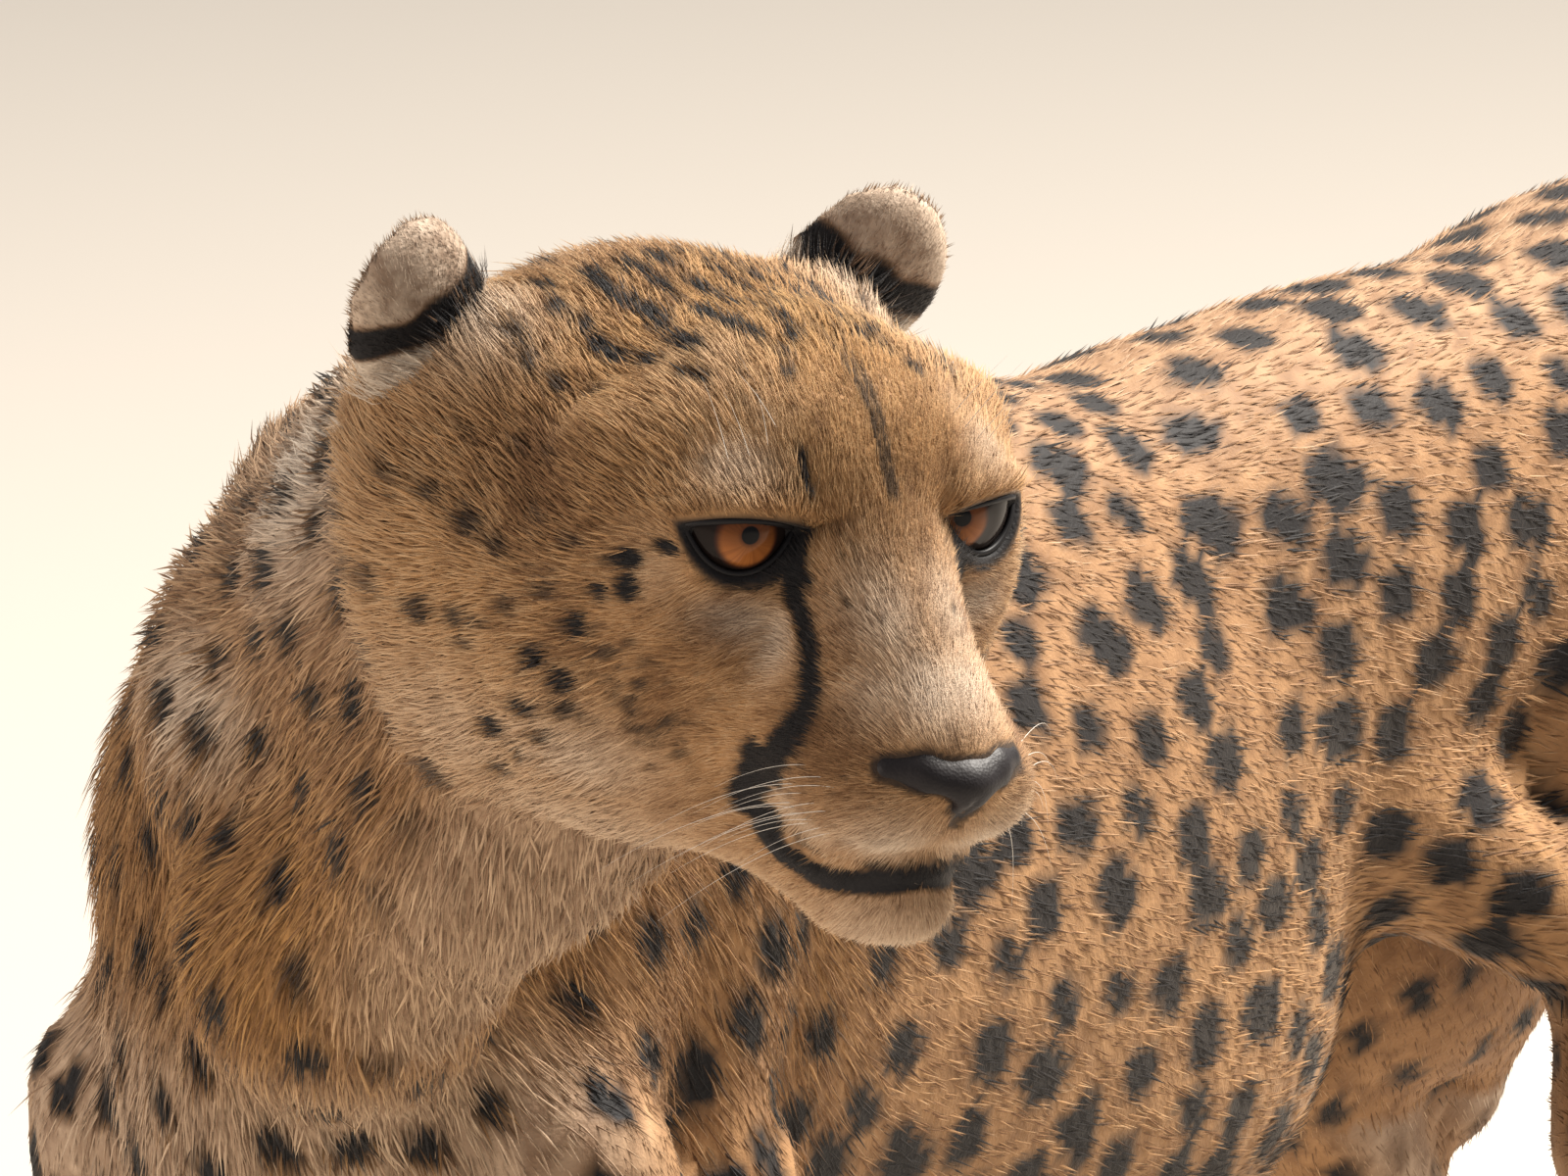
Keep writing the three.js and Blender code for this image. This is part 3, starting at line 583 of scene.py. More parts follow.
hide = work_hide()
hide_points, hide_normals = np.empty(len(hide.vertices) * 3), np.empty(len(hide.vertices) * 3)
hide.vertices.foreach_get("co", hide_points)
hide.vertices.foreach_get("normal", hide_normals)
hide_points = hide_points.reshape(-1, 3) / MM - WITHERS
hide_normals = hide_normals.reshape(-1, 3)
hide.calc_loop_triangles()
hide_triangles = np.empty(len(hide.loop_triangles) * 3, np.int32)
hide.loop_triangles.foreach_get("vertices", hide_triangles)
hide_triangles = hide_triangles.reshape(-1, 3)
hide_tree = BVHTree.FromPolygons([Vector(p) for p in hide_points], hide_triangles.tolist())


def on_hide(points):
    """The nearest places on the hide."""
    return np.array([hide_tree.find_nearest(Vector(p))[0][:] for p in np.atleast_2d(points)])


def drawn_on_hide(path, steps=4):
    """A path of the head's frame with more bends, laid on the hide."""
    path = np.asarray(path, float)
    at = np.linspace(0, len(path) - 1, (len(path) - 1) * steps + 1)
    fine = np.stack([np.interp(at, np.arange(len(path)), path[:, a]) for a in range(3)], axis=1)
    return to_head(on_hide(from_head(fine)))


# ------------------------------------------------------------------ lie of the coat
# Hair is combed by its roots: back from the nose, round the eyes, down the cheeks, along the
# neck and back, down the legs and along the tail. Strokes: a place and the way the hair lies.
FACE_STROKES = [  # in the head's frame, for its left side
    ([-16, 0, 6], [-.8, 0, .6]), ([-45, 0, 28], [-.8, 0, .6]), ([-64, 0, 48], [-.45, 0, .9]),
    ([-88, 0, 60], [-.9, 0, .45]), ([-130, 0, 58], [-1, 0, .1]), ([-20, 13, 0], [-.85, .45, .3]),
    ([-45, 15, 15], [-.9, .4, .2]), ([-66, 18, 46], [-.4, .15, .9]),
    ([-72, 34, 47], [-.35, .45, .8]), ([-88, 47, 42], [-.7, .6, .4]),
    ([-62, 36, 14], [-.45, .8, -.4]), ([-74, 48, 14], [-.8, .5, -.35]),
    ([-50, 30, 0], [-.75, .6, -.35]), ([-80, 54, -5], [-.85, .3, -.45]),
    ([-75, 45, -25], [-.85, .25, -.5]), ([-34, 28, -8], [-.9, .35, -.25]),
    ([-13, 14, -12], [-.45, .75, -.5]), ([-24, 20, -24], [-.5, .25, -.85]),
    ([-7, 0, -18], [-.1, .3, -.95]), ([-8, 0, -38], [0, .1, -1]), ([-22, 0, -50], [-.7, 0, -.7]),
    ([-60, 0, -56], [-1, 0, -.25]), ([-60, 28, -40], [-.9, .1, -.4]),
    ([-115, 58, -15], [-.9, .05, -.45]), ([-112, 48, -42], [-.85, .1, -.5]),
    ([-112, 55, 28], [-.95, .15, .15]), ([-140, 50, 44], [-.8, .2, .5]),
    ([-165, 68, 62], [-.1, .35, .9]), ([-170, 80, 45], [-.2, .9, .3]),
    ([-160, 60, 30], [-.3, .6, .3]), ([-190, 0, 30], [-1, 0, -.3]), ([-165, 45, -10], [-1, 0, -.3])]
BODY_STROKES = [  # in the body's frame, for its left side
    ([150, 90, 790], [-.75, -.6, -.25]), ([60, 40, 775], [-.9, -.35, -.1]),
    ([150, 130, 700], [-.5, -.45, -.7]), ([110, 80, 640], [-.6, -.4, -.65]),
    ([60, 60, 600], [-.6, 0, -.8]), ([90, 0, 620], [-.3, 0, -.95]), ([20, 0, 480], [-.8, 0, -.5]),
    ([-20, 30, 755], [-1, 0, -.1]), ([-200, 0, 730], [-1, 0, 0]), ([-200, 75, 660], [-.95, 0, -.3]),
    ([-180, 85, 560], [-.95, 0, -.3]), ([-200, 0, 450], [-1, 0, 0]),
    ([-400, 0, 720], [-1, 0, 0]), ([-400, 70, 640], [-.95, 0, -.25]), ([-420, 0, 550], [-.9, 0, .3]),
    ([-600, 0, 735], [-1, 0, -.2]), ([-580, 75, 660], [-.8, 0, -.6]), ([-560, 80, 540], [-.35, 0, -.9]),
    ([-650, 40, 640], [-.3, 0, -.95]), ([-540, 10, 500], [-.5, 0, -.8]),
    ([20, 85, 600], [-.5, .1, -.85]), ([10, 85, 450], [-.2, 0, -1]), ([0, 60, 500], [-.2, 0, -1]),
    ([20, 75, 250], [-.1, 0, -1]), ([40, 74, 80], [.25, 0, -.95]), ([90, 74, 25], [.85, 0, -.5]),
    ([-600, 78, 380], [-.5, 0, -.85]), ([-650, 76, 260], [-.1, 0, -1]),
    ([-640, 74, 120], [0, 0, -1]), ([-610, 74, 60], [.5, 0, -.8]), ([-570, 74, 25], [.85, 0, -.5])]
for a, b in zip(tail_joints, tail_joints[1:]):
    BODY_STROKES.append((((a + b) / 2)[:3], unit((b - a)[:3])))


def combed(points, strokes, reach):
    """The way the hair lies, from the strokes round each point; x and z alike on both sides."""
    places, ways = (np.array(part, float) for part in zip(*strokes))
    side = np.where(points[:, 1] < 0, -1.0, 1.0)[:, None] * [0, 1, 0] + [1, 0, 1]
    left_side, lie = points * side, np.zeros(points.shape)
    for place, way in zip(places, unit(ways)):
        gap = ((left_side - place) ** 2).sum(1) + reach ** 2
        lie += way / (gap ** 2.5)[:, None]
    return unit(lie) * side


BODY_STROKE_REACH, FACE_STROKE_REACH = 25.0, 6.0
STRAIGHT_TO = 60                    # the strokes follow the spine's bend as far as the shoulders


def lie_of_coat(points, normals, head_share):
    """The way the hair lies on the hide, along its surface."""
    x, y, z = points.T
    straight = np.column_stack([x, y - spine_y(np.minimum(x, STRAIGHT_TO)), z])
    body = combed(straight, BODY_STROKES, BODY_STROKE_REACH)
    head = combed(to_head(points), FACE_STROKES, FACE_STROKE_REACH) @ HEAD_TURN
    lie = unit(body + (head - body) * head_share[:, None])
    return unit(lie - normals * (lie * normals).sum(1)[:, None])


WAVES = 6


def ripple(points, size, seed):
    """Smooth waves without direction, from -1 to 1, about size millimetres long."""
    rng = np.random.default_rng(seed)
    total = np.zeros(len(points))
    for _ in range(WAVES):
        wave = unit(rng.normal(size=3)) * 2 * math.pi / (size * rng.uniform(0.7, 1.6))
        total += np.sin(points @ wave + rng.uniform(0, 6.28))
    return total / WAVES ** 0.5 / 1.4


hide_parts = flesh(hide_points)[1]
hide_head = smoothstep(10, -10, hide_parts["head"] - hide_parts["neck"]) * (hide_parts["head"] < 60)
hide_lie = lie_of_coat(hide_points, hide_normals, hide_head)

# ------------------------------------------------------------------ markings
# Solid black spots all over, small and close on the face and large on the flank; a black line
# from each eye to the mouth, black lips, bands on the ears and rings at the end of the tail.
TEAR = [[-62, 15, 25], [-58.5, 16, 22], [-50.5, 17.7, 16.5], [-44.5, 20, 11], [-40, 21.8, 6],
        [-36.8, 24.3, 1], [-36.5, 27.5, -6], [-39, 28.5, -13]]
TEAR_WIDTH = np.array([2.6, 2.2, 2.2, 2.3, 2.5, 3.2, 4.4, 5.4])
CORNER_PATCH = [([-39, 28.5, -13], 5.0), ([-47, 28, -20], 6.0), ([-50, 27, -27], 5.5),
                ([-43, 24, -31], 5.0), ([-47, 29, -16], 5.5)]
LOWER_LIP = [[-44, 24, -32.5], [-38, 22, -36], [-27, 17.5, -36.5], [-19, 12, -34], [-14, 5, -31.5],
             [-12.5, 0, -30.5]]
LIP_WIDTH, UPPER_LIP_WIDTH, EYE_CORNER_WIDTH = 3.6, 1.2, [4.2, 3.2]
FACE_SPOT_ROWS = [  # from, to, how many, half width, half length, how dark
    ([-70, 48.5, 29], [-76, 53, 23], 2, 1.9, 4.2, 1.0), ([-75, 54, 18], [-80, 57, 14], 2, 2.6, 2.9, 1.0),
    ([-85.5, 59, 4], [-92.5, 62, -9], 2, 3.2, 3.8, 1.0), ([-87, 59, -12], [-109, 58, -34], 3, 2.9, 3.6, 1.0),
    ([-86, 57, -19], [-112, 48, -44], 4, 2.4, 3.0, .9), ([-97, 65, 6], [-116, 62, -16], 4, 2.2, 2.6, .8),
    ([-76, 53.5, -1], [-67, 41, -15], 3, 1.8, 2.2, .8), ([-73, 50, 6], [-66, 42, -6], 3, 1.1, 1.5, .55),
    ([-66, 43, 9], [-60, 36, -6], 3, .9, 1.3, .4), ([-79, 50, -12], [-69, 36, -22], 3, 1.2, 1.6, .55),
    ([-80, 58, 22], [-104, 62, 22], 3, 1.8, 2.4, .8), ([-112, 60, 8], [-150, 50, 4], 4, 3.0, 3.6, .9),
    ([-120, 55, -10], [-160, 46, -14], 4, 3.4, 4.0, .9), ([-84, 16, 60], [-90, 13, 61], 2, 2.2, 2.8, .9),
    ([-94, 5, 60], [-162, 5, 60], 8, 2.5, 3.4, 1.0), ([-98, 14, 61], [-162, 13, 57], 8, 2.6, 3.6, 1.0),
    ([-106, 24, 57], [-160, 22, 52], 7, 2.7, 4.0, 1.0), ([-92, 30, 56], [-98, 33, 54], 2, 2.2, 2.8, 1.0),
    ([-112, 34, 52], [-160, 33, 46], 6, 2.7, 3.6, 1.0), ([-118, 45, 44], [-152, 46, 38], 4, 2.5, 3.2, .9),
    ([-82, 27, 56], [-86, 38, 50], 2, 1.2, 1.6, .4), ([-110, 52, 32], [-140, 56, 22], 3, 2.0, 2.6, .6)]
FRECKLES = [  # middle and spread of the small dark flecks, and how many on each side
    ([-76, 50, -8], [14, 8, 14], 34), ([-70, 40, -20], [14, 8, 8], 16), ([-92, 58, 12], [12, 6, 10], 14),
    ([-28, 22, -12], [10, 6, 7], 14), ([-46, 12, 24], [10, 8, 8], 6), ([-100, 22, 58], [26, 20, 8], 16)]
FACE_LINES = [  # path, half width, how dark: the parting of the forehead and a dash over the right eye
    ([[-120, 1, 62], [-97, 1.5, 62], [-84, 1, 60]], .8, .5),
    ([[-84, 1, 60], [-75, 1, 56], [-68, .8, 50], [-62, .5, 40]], .8, .8),
    ([[-69.5, 18.5, 51], [-65.5, 18.8, 44]], 1.2, 1.0), ([[-60, 5.5, 31], [-55, 6, 26]], .4, .5)]
WHISKER_ROWS = [(-9.5, -26, 3), (-13.5, -29, 4), (-17.5, -30, 4), (-21.5, -32, 3)]


TEAR_WIDTH = np.interp(np.linspace(0, 7, 29), np.arange(8), TEAR_WIDTH)
TEAR, LOWER_LIP = drawn_on_hide(TEAR), drawn_on_hide(LOWER_LIP)
EYE_CORNER = drawn_on_hide([[-62.5, 15, 29], [-61, 15.5, 23]], 1)
FACE_LINES = [(drawn_on_hide(path), half, dark) for path, half, dark in FACE_LINES]


def folded_head(points):
    """Body points as points of the head's left side."""
    return folded(to_head(points))


def wide_path(points, path, widths):
    """Distance to the edge of a stroke whose half width changes from bend to bend."""
    path, near = np.array(path, float), np.full(len(points), np.inf)
    for a, b, w0, w1 in zip(path, path[1:], widths, widths[1:]):
        t = np.clip((points - a) @ (b - a) / max((b - a) @ (b - a), 1e-9), 0, 1)
        gap = np.linalg.norm(points - a - t[:, None] * (b - a), axis=1) - (w0 + (w1 - w0) * t)
        near = np.minimum(near, gap)
    return near


def sow_face_spots():
    """Spots of the head as rows of place, half width, half length and darkness, both sides."""
    rng, spots = np.random.default_rng(5), []
    for start, end, count, wide, long, dark in FACE_SPOT_ROWS:
        start, end = np.array(start, float), np.array(end, float)
        for side in SIDES.values():
            for share in np.linspace(0, 1, count):
                place = (start + (end - start) * share + rng.normal(0, 0.9, 3)) * [1, side, 1]
                place = on_hide(from_head(place))[0]
                spots.append([*place, *(np.array([wide, long]) * rng.uniform(.95, 1.3)), dark])
    for middle, spread, count in FRECKLES:
        for i in range(2 * count):
            place = (middle + rng.normal(0, 0.6, 3) * spread) * [1, -1 if i % 2 else 1, 1]
            wide = rng.uniform(0.6, 1.2)
            spots.append([*on_hide(from_head(place))[0], wide, wide * 1.3, rng.uniform(.5, .9)])
    return spots


SPOT_GAP = {"neck": 16.5, "trunk": 16.8, "legs": 16.5, "tail": 20.0}
SPOT_SIZE = {"neck": 5.4, "trunk": 8.7, "legs": 5.2, "tail": 6.6}
GAP_ALONG = 0.62                    # spots stand farther apart along the lie than across it
BODY_PARTS = ("neck", "trunk", "legs", "tail")
CELL = 33                           # wider than the widest gap along the lie
NEAREST_SPOTS = 4


def spread_of_spots(points, parts, sizes):
    """A size that changes softly from one part of the body to the next."""
    closeness = np.stack([np.exp(-np.clip(parts[k], -40, 400) / 9.0) for k in BODY_PARTS])
    return (closeness * np.array([sizes[k] for k in BODY_PARTS])[:, None]).sum(0) / closeness.sum(0)


def sow_body_spots():
    """Spots that keep their distance from each other, over the whole body behind the head."""
    rng = np.random.default_rng(23)
    order = rng.permutation(len(hide_points))
    order = order[(hide_head[order] < 0.35) & (hide_points[order, 2] > 22)]
    gap = spread_of_spots(hide_points, hide_parts, SPOT_GAP)
    size = spread_of_spots(hide_points, hide_parts, SPOT_SIZE)
    gap *= 1 - 0.3 * smoothstep(330, 120, hide_points[:, 2])
    size *= 1 - 0.4 * smoothstep(330, 120, hide_points[:, 2])
    cells, spots = {}, []
    for i in order:
        p, way, apart = hide_points[i], hide_lie[i], gap[i]
        cell = tuple(int(c // CELL) for c in p)
        near = [q for dx in (-1, 0, 1) for dy in (-1, 0, 1) for dz in (-1, 0, 1)
                for q in cells.get((cell[0] + dx, cell[1] + dy, cell[2] + dz), ())]
        if near:
            off = np.array(near) - p
            shrunk = (off ** 2).sum(1) - (1 - GAP_ALONG ** 2) * (off @ way) ** 2
            if shrunk.min() < apart ** 2:
                continue
        cells.setdefault(cell, []).append(p)
        wide = size[i] * rng.uniform(0.8, 1.12)
        spots.append([*p, wide, wide * rng.uniform(1.15, 1.4), 1.0])
    return spots


spots = np.array(sow_face_spots() + sow_body_spots())
spot_tree = KDTree(len(spots))
for i, spot in enumerate(spots):
    spot_tree.insert(spot[:3], i)
spot_tree.balance()


def spot_mask(points, lie, soft):
    """1 on a spot and 0 off it; each spot is an uneven oval, long along the lie of the hair."""
    near = np.array([[hit[1] for hit in spot_tree.find_n(p, NEAREST_SPOTS)] for p in points])
    mask = np.zeros(len(points))
    wobble = 1 + 0.16 * ripple(points, 9.0, 3)
    for column in near.T:
        spot = spots[column]
        off = points - spot[:, :3]
        along = (off * lie).sum(1)
        across = np.sqrt(np.maximum((off ** 2).sum(1) - along ** 2, 0))
        reach = np.hypot(along / spot[:, 4], across / spot[:, 3]) / wobble
        edge = soft / spot[:, 3]
        mask = np.maximum(mask, smoothstep(1 + edge, 1 - edge, reach) * spot[:, 5])
    return mask


def around(points, place, radii):
    """1 in the middle of a soft oval patch, 0 beyond it."""
    return np.exp(-(((points - place) / radii) ** 2).sum(1))


# Patches where the face is darker: partly browner fur and partly painted shade, the shade most of all under
# the eyes and down the sides of the bridge and the muzzle.
DARKER_FUR_AND_SHADE = [  # where the face is darker: middle, radii, how much
    ((-106, 52, 25), (24, 16, 18), .8), ((-88, 54, 6), (16, 12, 16), .45),
    ((-26, 21, -5), (17, 11, 13), .85), ((-54, 12, 26), (14, 6, 10), .35),
    ((-135, 20, 58), (30, 34, 12), .25), ((-66, 42, -8), (18, 10, 14), .45),
    ((-74, 10, 50), (12, 12, 12), .3), ((-70, 30, -34), (20, 12, 10), .2),
    ((-172, 66, 52), (24, 26, 24), .5), ((-58, 8, 34), (16, 11, 16), .4), ((-42, 15, 14), (14, 9, 14), .5),
    ((-60, 34, 12), (12, 14, 12), .55), ((-37, 0, 23), (12, 14, 12), .25)]


NOSE_MASSES = [                     # the pad, its wings and the strip down to the lip
    egg([-10.5, 0, -2.6], [10.5, 13, 6.0], 4), limb([-10, 9, -2], [-14, 15.5, -3], 5.6, 4.6, 4),
    limb([-7, 0, -5], [-8.5, 0, -12], 6.8, 3.6, 4)]
NOSTRIL = [egg([-3.0, 8.6, -7.4], [7.0, 4.8, 3.1])[0], limb([-5, 12, -6.8], [-14, 20, -4.6], 2.3, 1.3)[0]]
NOSTRIL_FILLET = 1.2


def nose_field(points):
    """Distance to the bare pad of the nose, in the head's frame."""
    left_side = folded(points)
    hole = np.minimum(*(part(left_side) for part in NOSTRIL))
    near = -soften(-melt(NOSE_MASSES, left_side), hole, NOSTRIL_FILLET)
    return near + 0.8 * np.exp(-(points[:, 1] / 0.9) ** 2) * smoothstep(-3, -7, points[:, 2])


def tone_of_hair(points, head_share, seed, rough):
    """How light the single hairs are, from 0 to 1, with painted shade over the body and in the face's darker
    patches.
    """
    rng, place = np.random.default_rng(seed), folded_head(points)
    darker_and_shaded = np.zeros(len(points))
    for middle, radii, amount in DARKER_FUR_AND_SHADE:
        darker_and_shaded = np.maximum(darker_and_shaded, amount * around(place, middle, radii))
    # The body's hair is much darker than the head's: partly painted shade over the whole body behind the
    # head.
    tone = (0.21 + 0.40 * head_share + 0.17 * ripple(points, 11.0, seed + 1)
            + 0.2 * ripple(points, 4.5, 77))
    tone += rough * rng.normal(size=len(points))
    # The darker patches of the face, partly painted shade.
    return np.clip(tone - darker_and_shaded * head_share, 0, 1)


THROAT = [[240, 222, 716], [190, 165, 680], [160, 125, 648]]
NAPE = [((178, 97, 775), (45, 45, 32), 1.0), ((165, 45, 712), (24, 34, 20), .8)]    # paler


def colours_of_body(points, parts, head_share, black):
    """The belly, the inside of the legs, the chest and the throat are pale, with few spots."""
    x, y, z = points.T
    low = smoothstep(515, 470, z) * (parts["trunk"] < parts["legs"] - 2)
    from_middle = np.abs(y - spine_y(np.minimum(x, STRAIGHT_TO)))
    inner = smoothstep(62, 48, from_middle) * (parts["legs"] < 4) * (z < 470)
    pale = np.maximum(low * 0.95, inner * 0.75)
    black = black * (1 - 0.85 * np.maximum(low, inner))
    chest = smoothstep(30, 90, x) * smoothstep(0, -40, z - 640) * (1 - head_share)
    pale = np.maximum(pale, 0.45 * chest)
    pale = np.maximum(pale, 0.28 * smoothstep(690, 770, z) * (1 - head_share))
    pale = np.maximum(pale, 0.35 * smoothstep(90, 40, z))           # paws
    gold = (0.15 + 0.5 * share_of_neck(parts) + 0.3 * smoothstep(700, 560, z)) * (1 - head_share)
    for middle, radii, amount in NAPE:
        pale = np.maximum(pale, amount * around(points, middle, radii) * (1 - head_share))
    gold += 0.45 * around(points, (180, 78, 668), (60, 70, 40)) * (1 - head_share)
    throat = smoothstep(46, 20, path_distance(points, THROAT)) * (1 - head_share)
    return black * (1 - throat), np.maximum(pale, 0.35 * throat), gold


TAIL_RINGS = ((5.15, .13), (5.75, .16), (6.3, .16), (6.85, .17), (7.4, .19), (8.0, .24))
LAST_TAIL_SPOT, WHITE_TIP = 4.9, (8.25, 8.6)                        # in bends of the tail


def colours_of_tail(points, parts, black, pale):
    """Spots, then rings over the last third, the last of them before a white tip."""
    run = np.array([wide_path(points, tail_joints[i:i + 2, :3] + [0, spine_y(-640), 0], [0, 0])
                    for i in range(len(tail_joints) - 1)])
    joint = run.argmin(0)
    a, b = tail_joints[joint, :3], tail_joints[joint + 1, :3]
    t = ((points - a) * (b - a)).sum(1) / ((b - a) ** 2).sum(1)
    along_tail = joint + np.clip(t, 0, 1.3)
    on_tail = smoothstep(12, -2, parts["tail"] - parts["legs"]) * (points[:, 0] < -640)
    rings = np.zeros(len(points))
    for middle, half in TAIL_RINGS:
        gap = np.abs(along_tail - middle + 0.05 * ripple(points, 22, 8))
        rings = np.maximum(rings, smoothstep(half + .07, half - .05, gap))
    black = np.where(on_tail > 0.5, np.maximum(black * (along_tail < LAST_TAIL_SPOT), rings), black)
    tip = smoothstep(*WHITE_TIP, along_tail) * on_tail
    pale, black = np.maximum(pale, tip), black * (1 - tip)
    return black, np.maximum(pale, 0.5 * on_tail * smoothstep(4.5, 6, along_tail))


PALE_PATCHES = [  # where the face is paler: middle, radii, how much; the cream on the ridge near the nose is partly painted light
    ((-70, 33, 48), (8, 11, 6), .42), ((-79, 24, 54), (9, 6, 6), .25),
    ((-62, 31, 15), (9, 10, 6), .75), ((-54, 24, 10), (7, 5, 10), .6),
    ((-76, 47, 22), (9, 6, 8), .3), ((-12, 13, -19), (12, 12, 9), .7),
    ((-30, 20, -22), (14, 12, 7), .5), ((-16, 0, -46), (18, 20, 12), .5),
    ((-60, 0, -60), (52, 30, 16), .5), ((-100, 30, -55), (40, 30, 18), .4),
    # The cream on the ridge near the nose: paler fur and partly painted light.
    ((-22, 3, 11), (14, 10, 10), .75), ((-40, 8, 22), (20, 9, 12), .5), ((-26, 12, 8), (10, 8, 10), .5),
    ((-156, 48, 38), (12, 11, 11), .9), ((-120, 58, -42), (26, 16, 20), .3),
    ((-84, 50, -32), (22, 16, 14), .45), ((-98, 24, 56), (14, 14, 10), .25)]


def colours_of_face(place):
    """How pale and how golden the head is, for points of its left side."""
    pale = np.zeros(len(place))
    for middle, radii, amount in PALE_PATCHES:
        pale = np.maximum(pale, amount * around(place, middle, radii))
    gold = np.maximum(around(place, (-105, 0, 58), (48, 46, 26)),
                      0.7 * around(place, (-72, 14, 36), (14, 16, 16)))
    return pale, 0.55 + 0.45 * gold


def distance_to_lids(points):
    """Distance to the edge of the lids, a little more over the eye than under it."""
    rim, place = np.full(len(points), 99.0), to_head(points)
    for side in SIDES.values():
        opening, reach = lid_opening(place, side)
        over = 0.4 * smoothstep(2, 6, ((place - mirrored(EYE_AT, side)) @ lid_axes(side).T)[:, 2])
        rim = np.where(reach < EYE_RADIUS + 6, np.minimum(rim, opening + over), rim)
    return rim


def black_of_face(points, head_share, soft):
    """The tear lines, the corners of the mouth, the lips, the lids and the whiskers' rows."""
    place = folded_head(points)
    edge = 0.35 * ripple(points, 5.0, 11)
    dark = smoothstep(0.6 + soft, 0.6 - soft, wide_path(place, TEAR, TEAR_WIDTH) + edge)
    for middle, radius in CORNER_PATCH:
        gap = np.linalg.norm(place - middle, axis=1) - radius + edge
        dark = np.maximum(dark, smoothstep(soft, -soft, gap))
    lip = wide_path(place, LOWER_LIP, [LIP_WIDTH] * len(LOWER_LIP)) + edge * 0.5
    dark = np.maximum(dark, smoothstep(soft, -soft, lip))
    upper = wide_path(place, MOUTH, [UPPER_LIP_WIDTH] * len(MOUTH))
    dark = np.maximum(dark, 0.9 * smoothstep(soft, -soft, upper))
    for path, half, amount in FACE_LINES:
        gap = wide_path(place, path, [half] * len(path))
        both_sides = path[0][1] < 10
        shown = (head_share > 0.5) & (both_sides | (to_head(points)[:, 1] < 0))
        dark = np.maximum(dark, amount * smoothstep(soft + .3, -soft, gap) * shown)
    dark = np.maximum(dark, smoothstep(1.6 + soft, 1.2 - soft, distance_to_lids(points)) * head_share)
    corner = wide_path(place, EYE_CORNER, EYE_CORNER_WIDTH)
    dark = np.maximum(dark, smoothstep(soft, -soft, corner) * head_share)
    dark = np.maximum(dark, 0.9 * smoothstep(1.6, .6, nose_field(place)) * (head_share > 0.5))
    for height, back, count in WHISKER_ROWS:
        for x_at in np.linspace(-17, back, count):
            gap = np.hypot(place[:, 0] - x_at, place[:, 2] - height + 0.12 * (x_at + 17))
            dot = 0.45 * smoothstep(1.2, .3, gap) * (place[:, 1] > 8) * head_share
            dark = np.maximum(dark, dot)
    return dark


def markings(points, lie, parts, head_share, soft):
    """How black, pale and golden the coat is at each point; soft is the edges' half width."""
    black, pale, gold = colours_of_body(points, parts, head_share, spot_mask(points, lie, soft))
    black, pale = colours_of_tail(points, parts, black, pale)
    place = folded_head(points)
    face_pale, face_gold = colours_of_face(place)
    pale = pale * (1 - head_share) + face_pale * head_share
    gold = gold * (1 - head_share) + face_gold * head_share
    for side in SIDES.values():
        ear = smoothstep(3.5, 1, ear_distance(to_head(points), side)) * (place[:, 1] > 30)
        out, across, height = ear_local(to_head(points), side).T
        height = height - 0.15 * across * side + 1.2 * ripple(points, 9, 14)
        ear_black = ear * smoothstep(-5, -2.5, height) * smoothstep(6.5, 4, height) * (out < 0)
        black = np.maximum(black * (1 - ear), ear_black)
        gold = gold * (1 - ear)
        pale = np.maximum(pale * (1 - ear), ear * (1 - ear_black) * (.6 + .3 * (height < -3)))
    black = np.maximum(black, black_of_face(points, head_share, soft))
    return black, np.clip(pale, 0, 1) * (1 - black), np.clip(gold, 0, 1)


# The painter: one material for the hide and one for the tufts, read from the same markings.
class Shade:
    """One output of a material's node, with the usual sums written as operators."""

    def __init__(self, paint, socket):
        self.paint, self.socket = paint, socket

    def maths(self, kind, a, b):
        made = self.paint.node("Math", {0: a, 1: b}, operation=kind)
        return Shade(self.paint, made.outputs[0])

    def __add__(self, other):
        return self.maths("ADD", self, other)

    def __sub__(self, other):
        return self.maths("SUBTRACT", self, other)

    def __rsub__(self, other):
        return self.maths("SUBTRACT", other, self)

    def __mul__(self, other):
        return self.maths("MULTIPLY", self, other)

    __rmul__ = __mul__


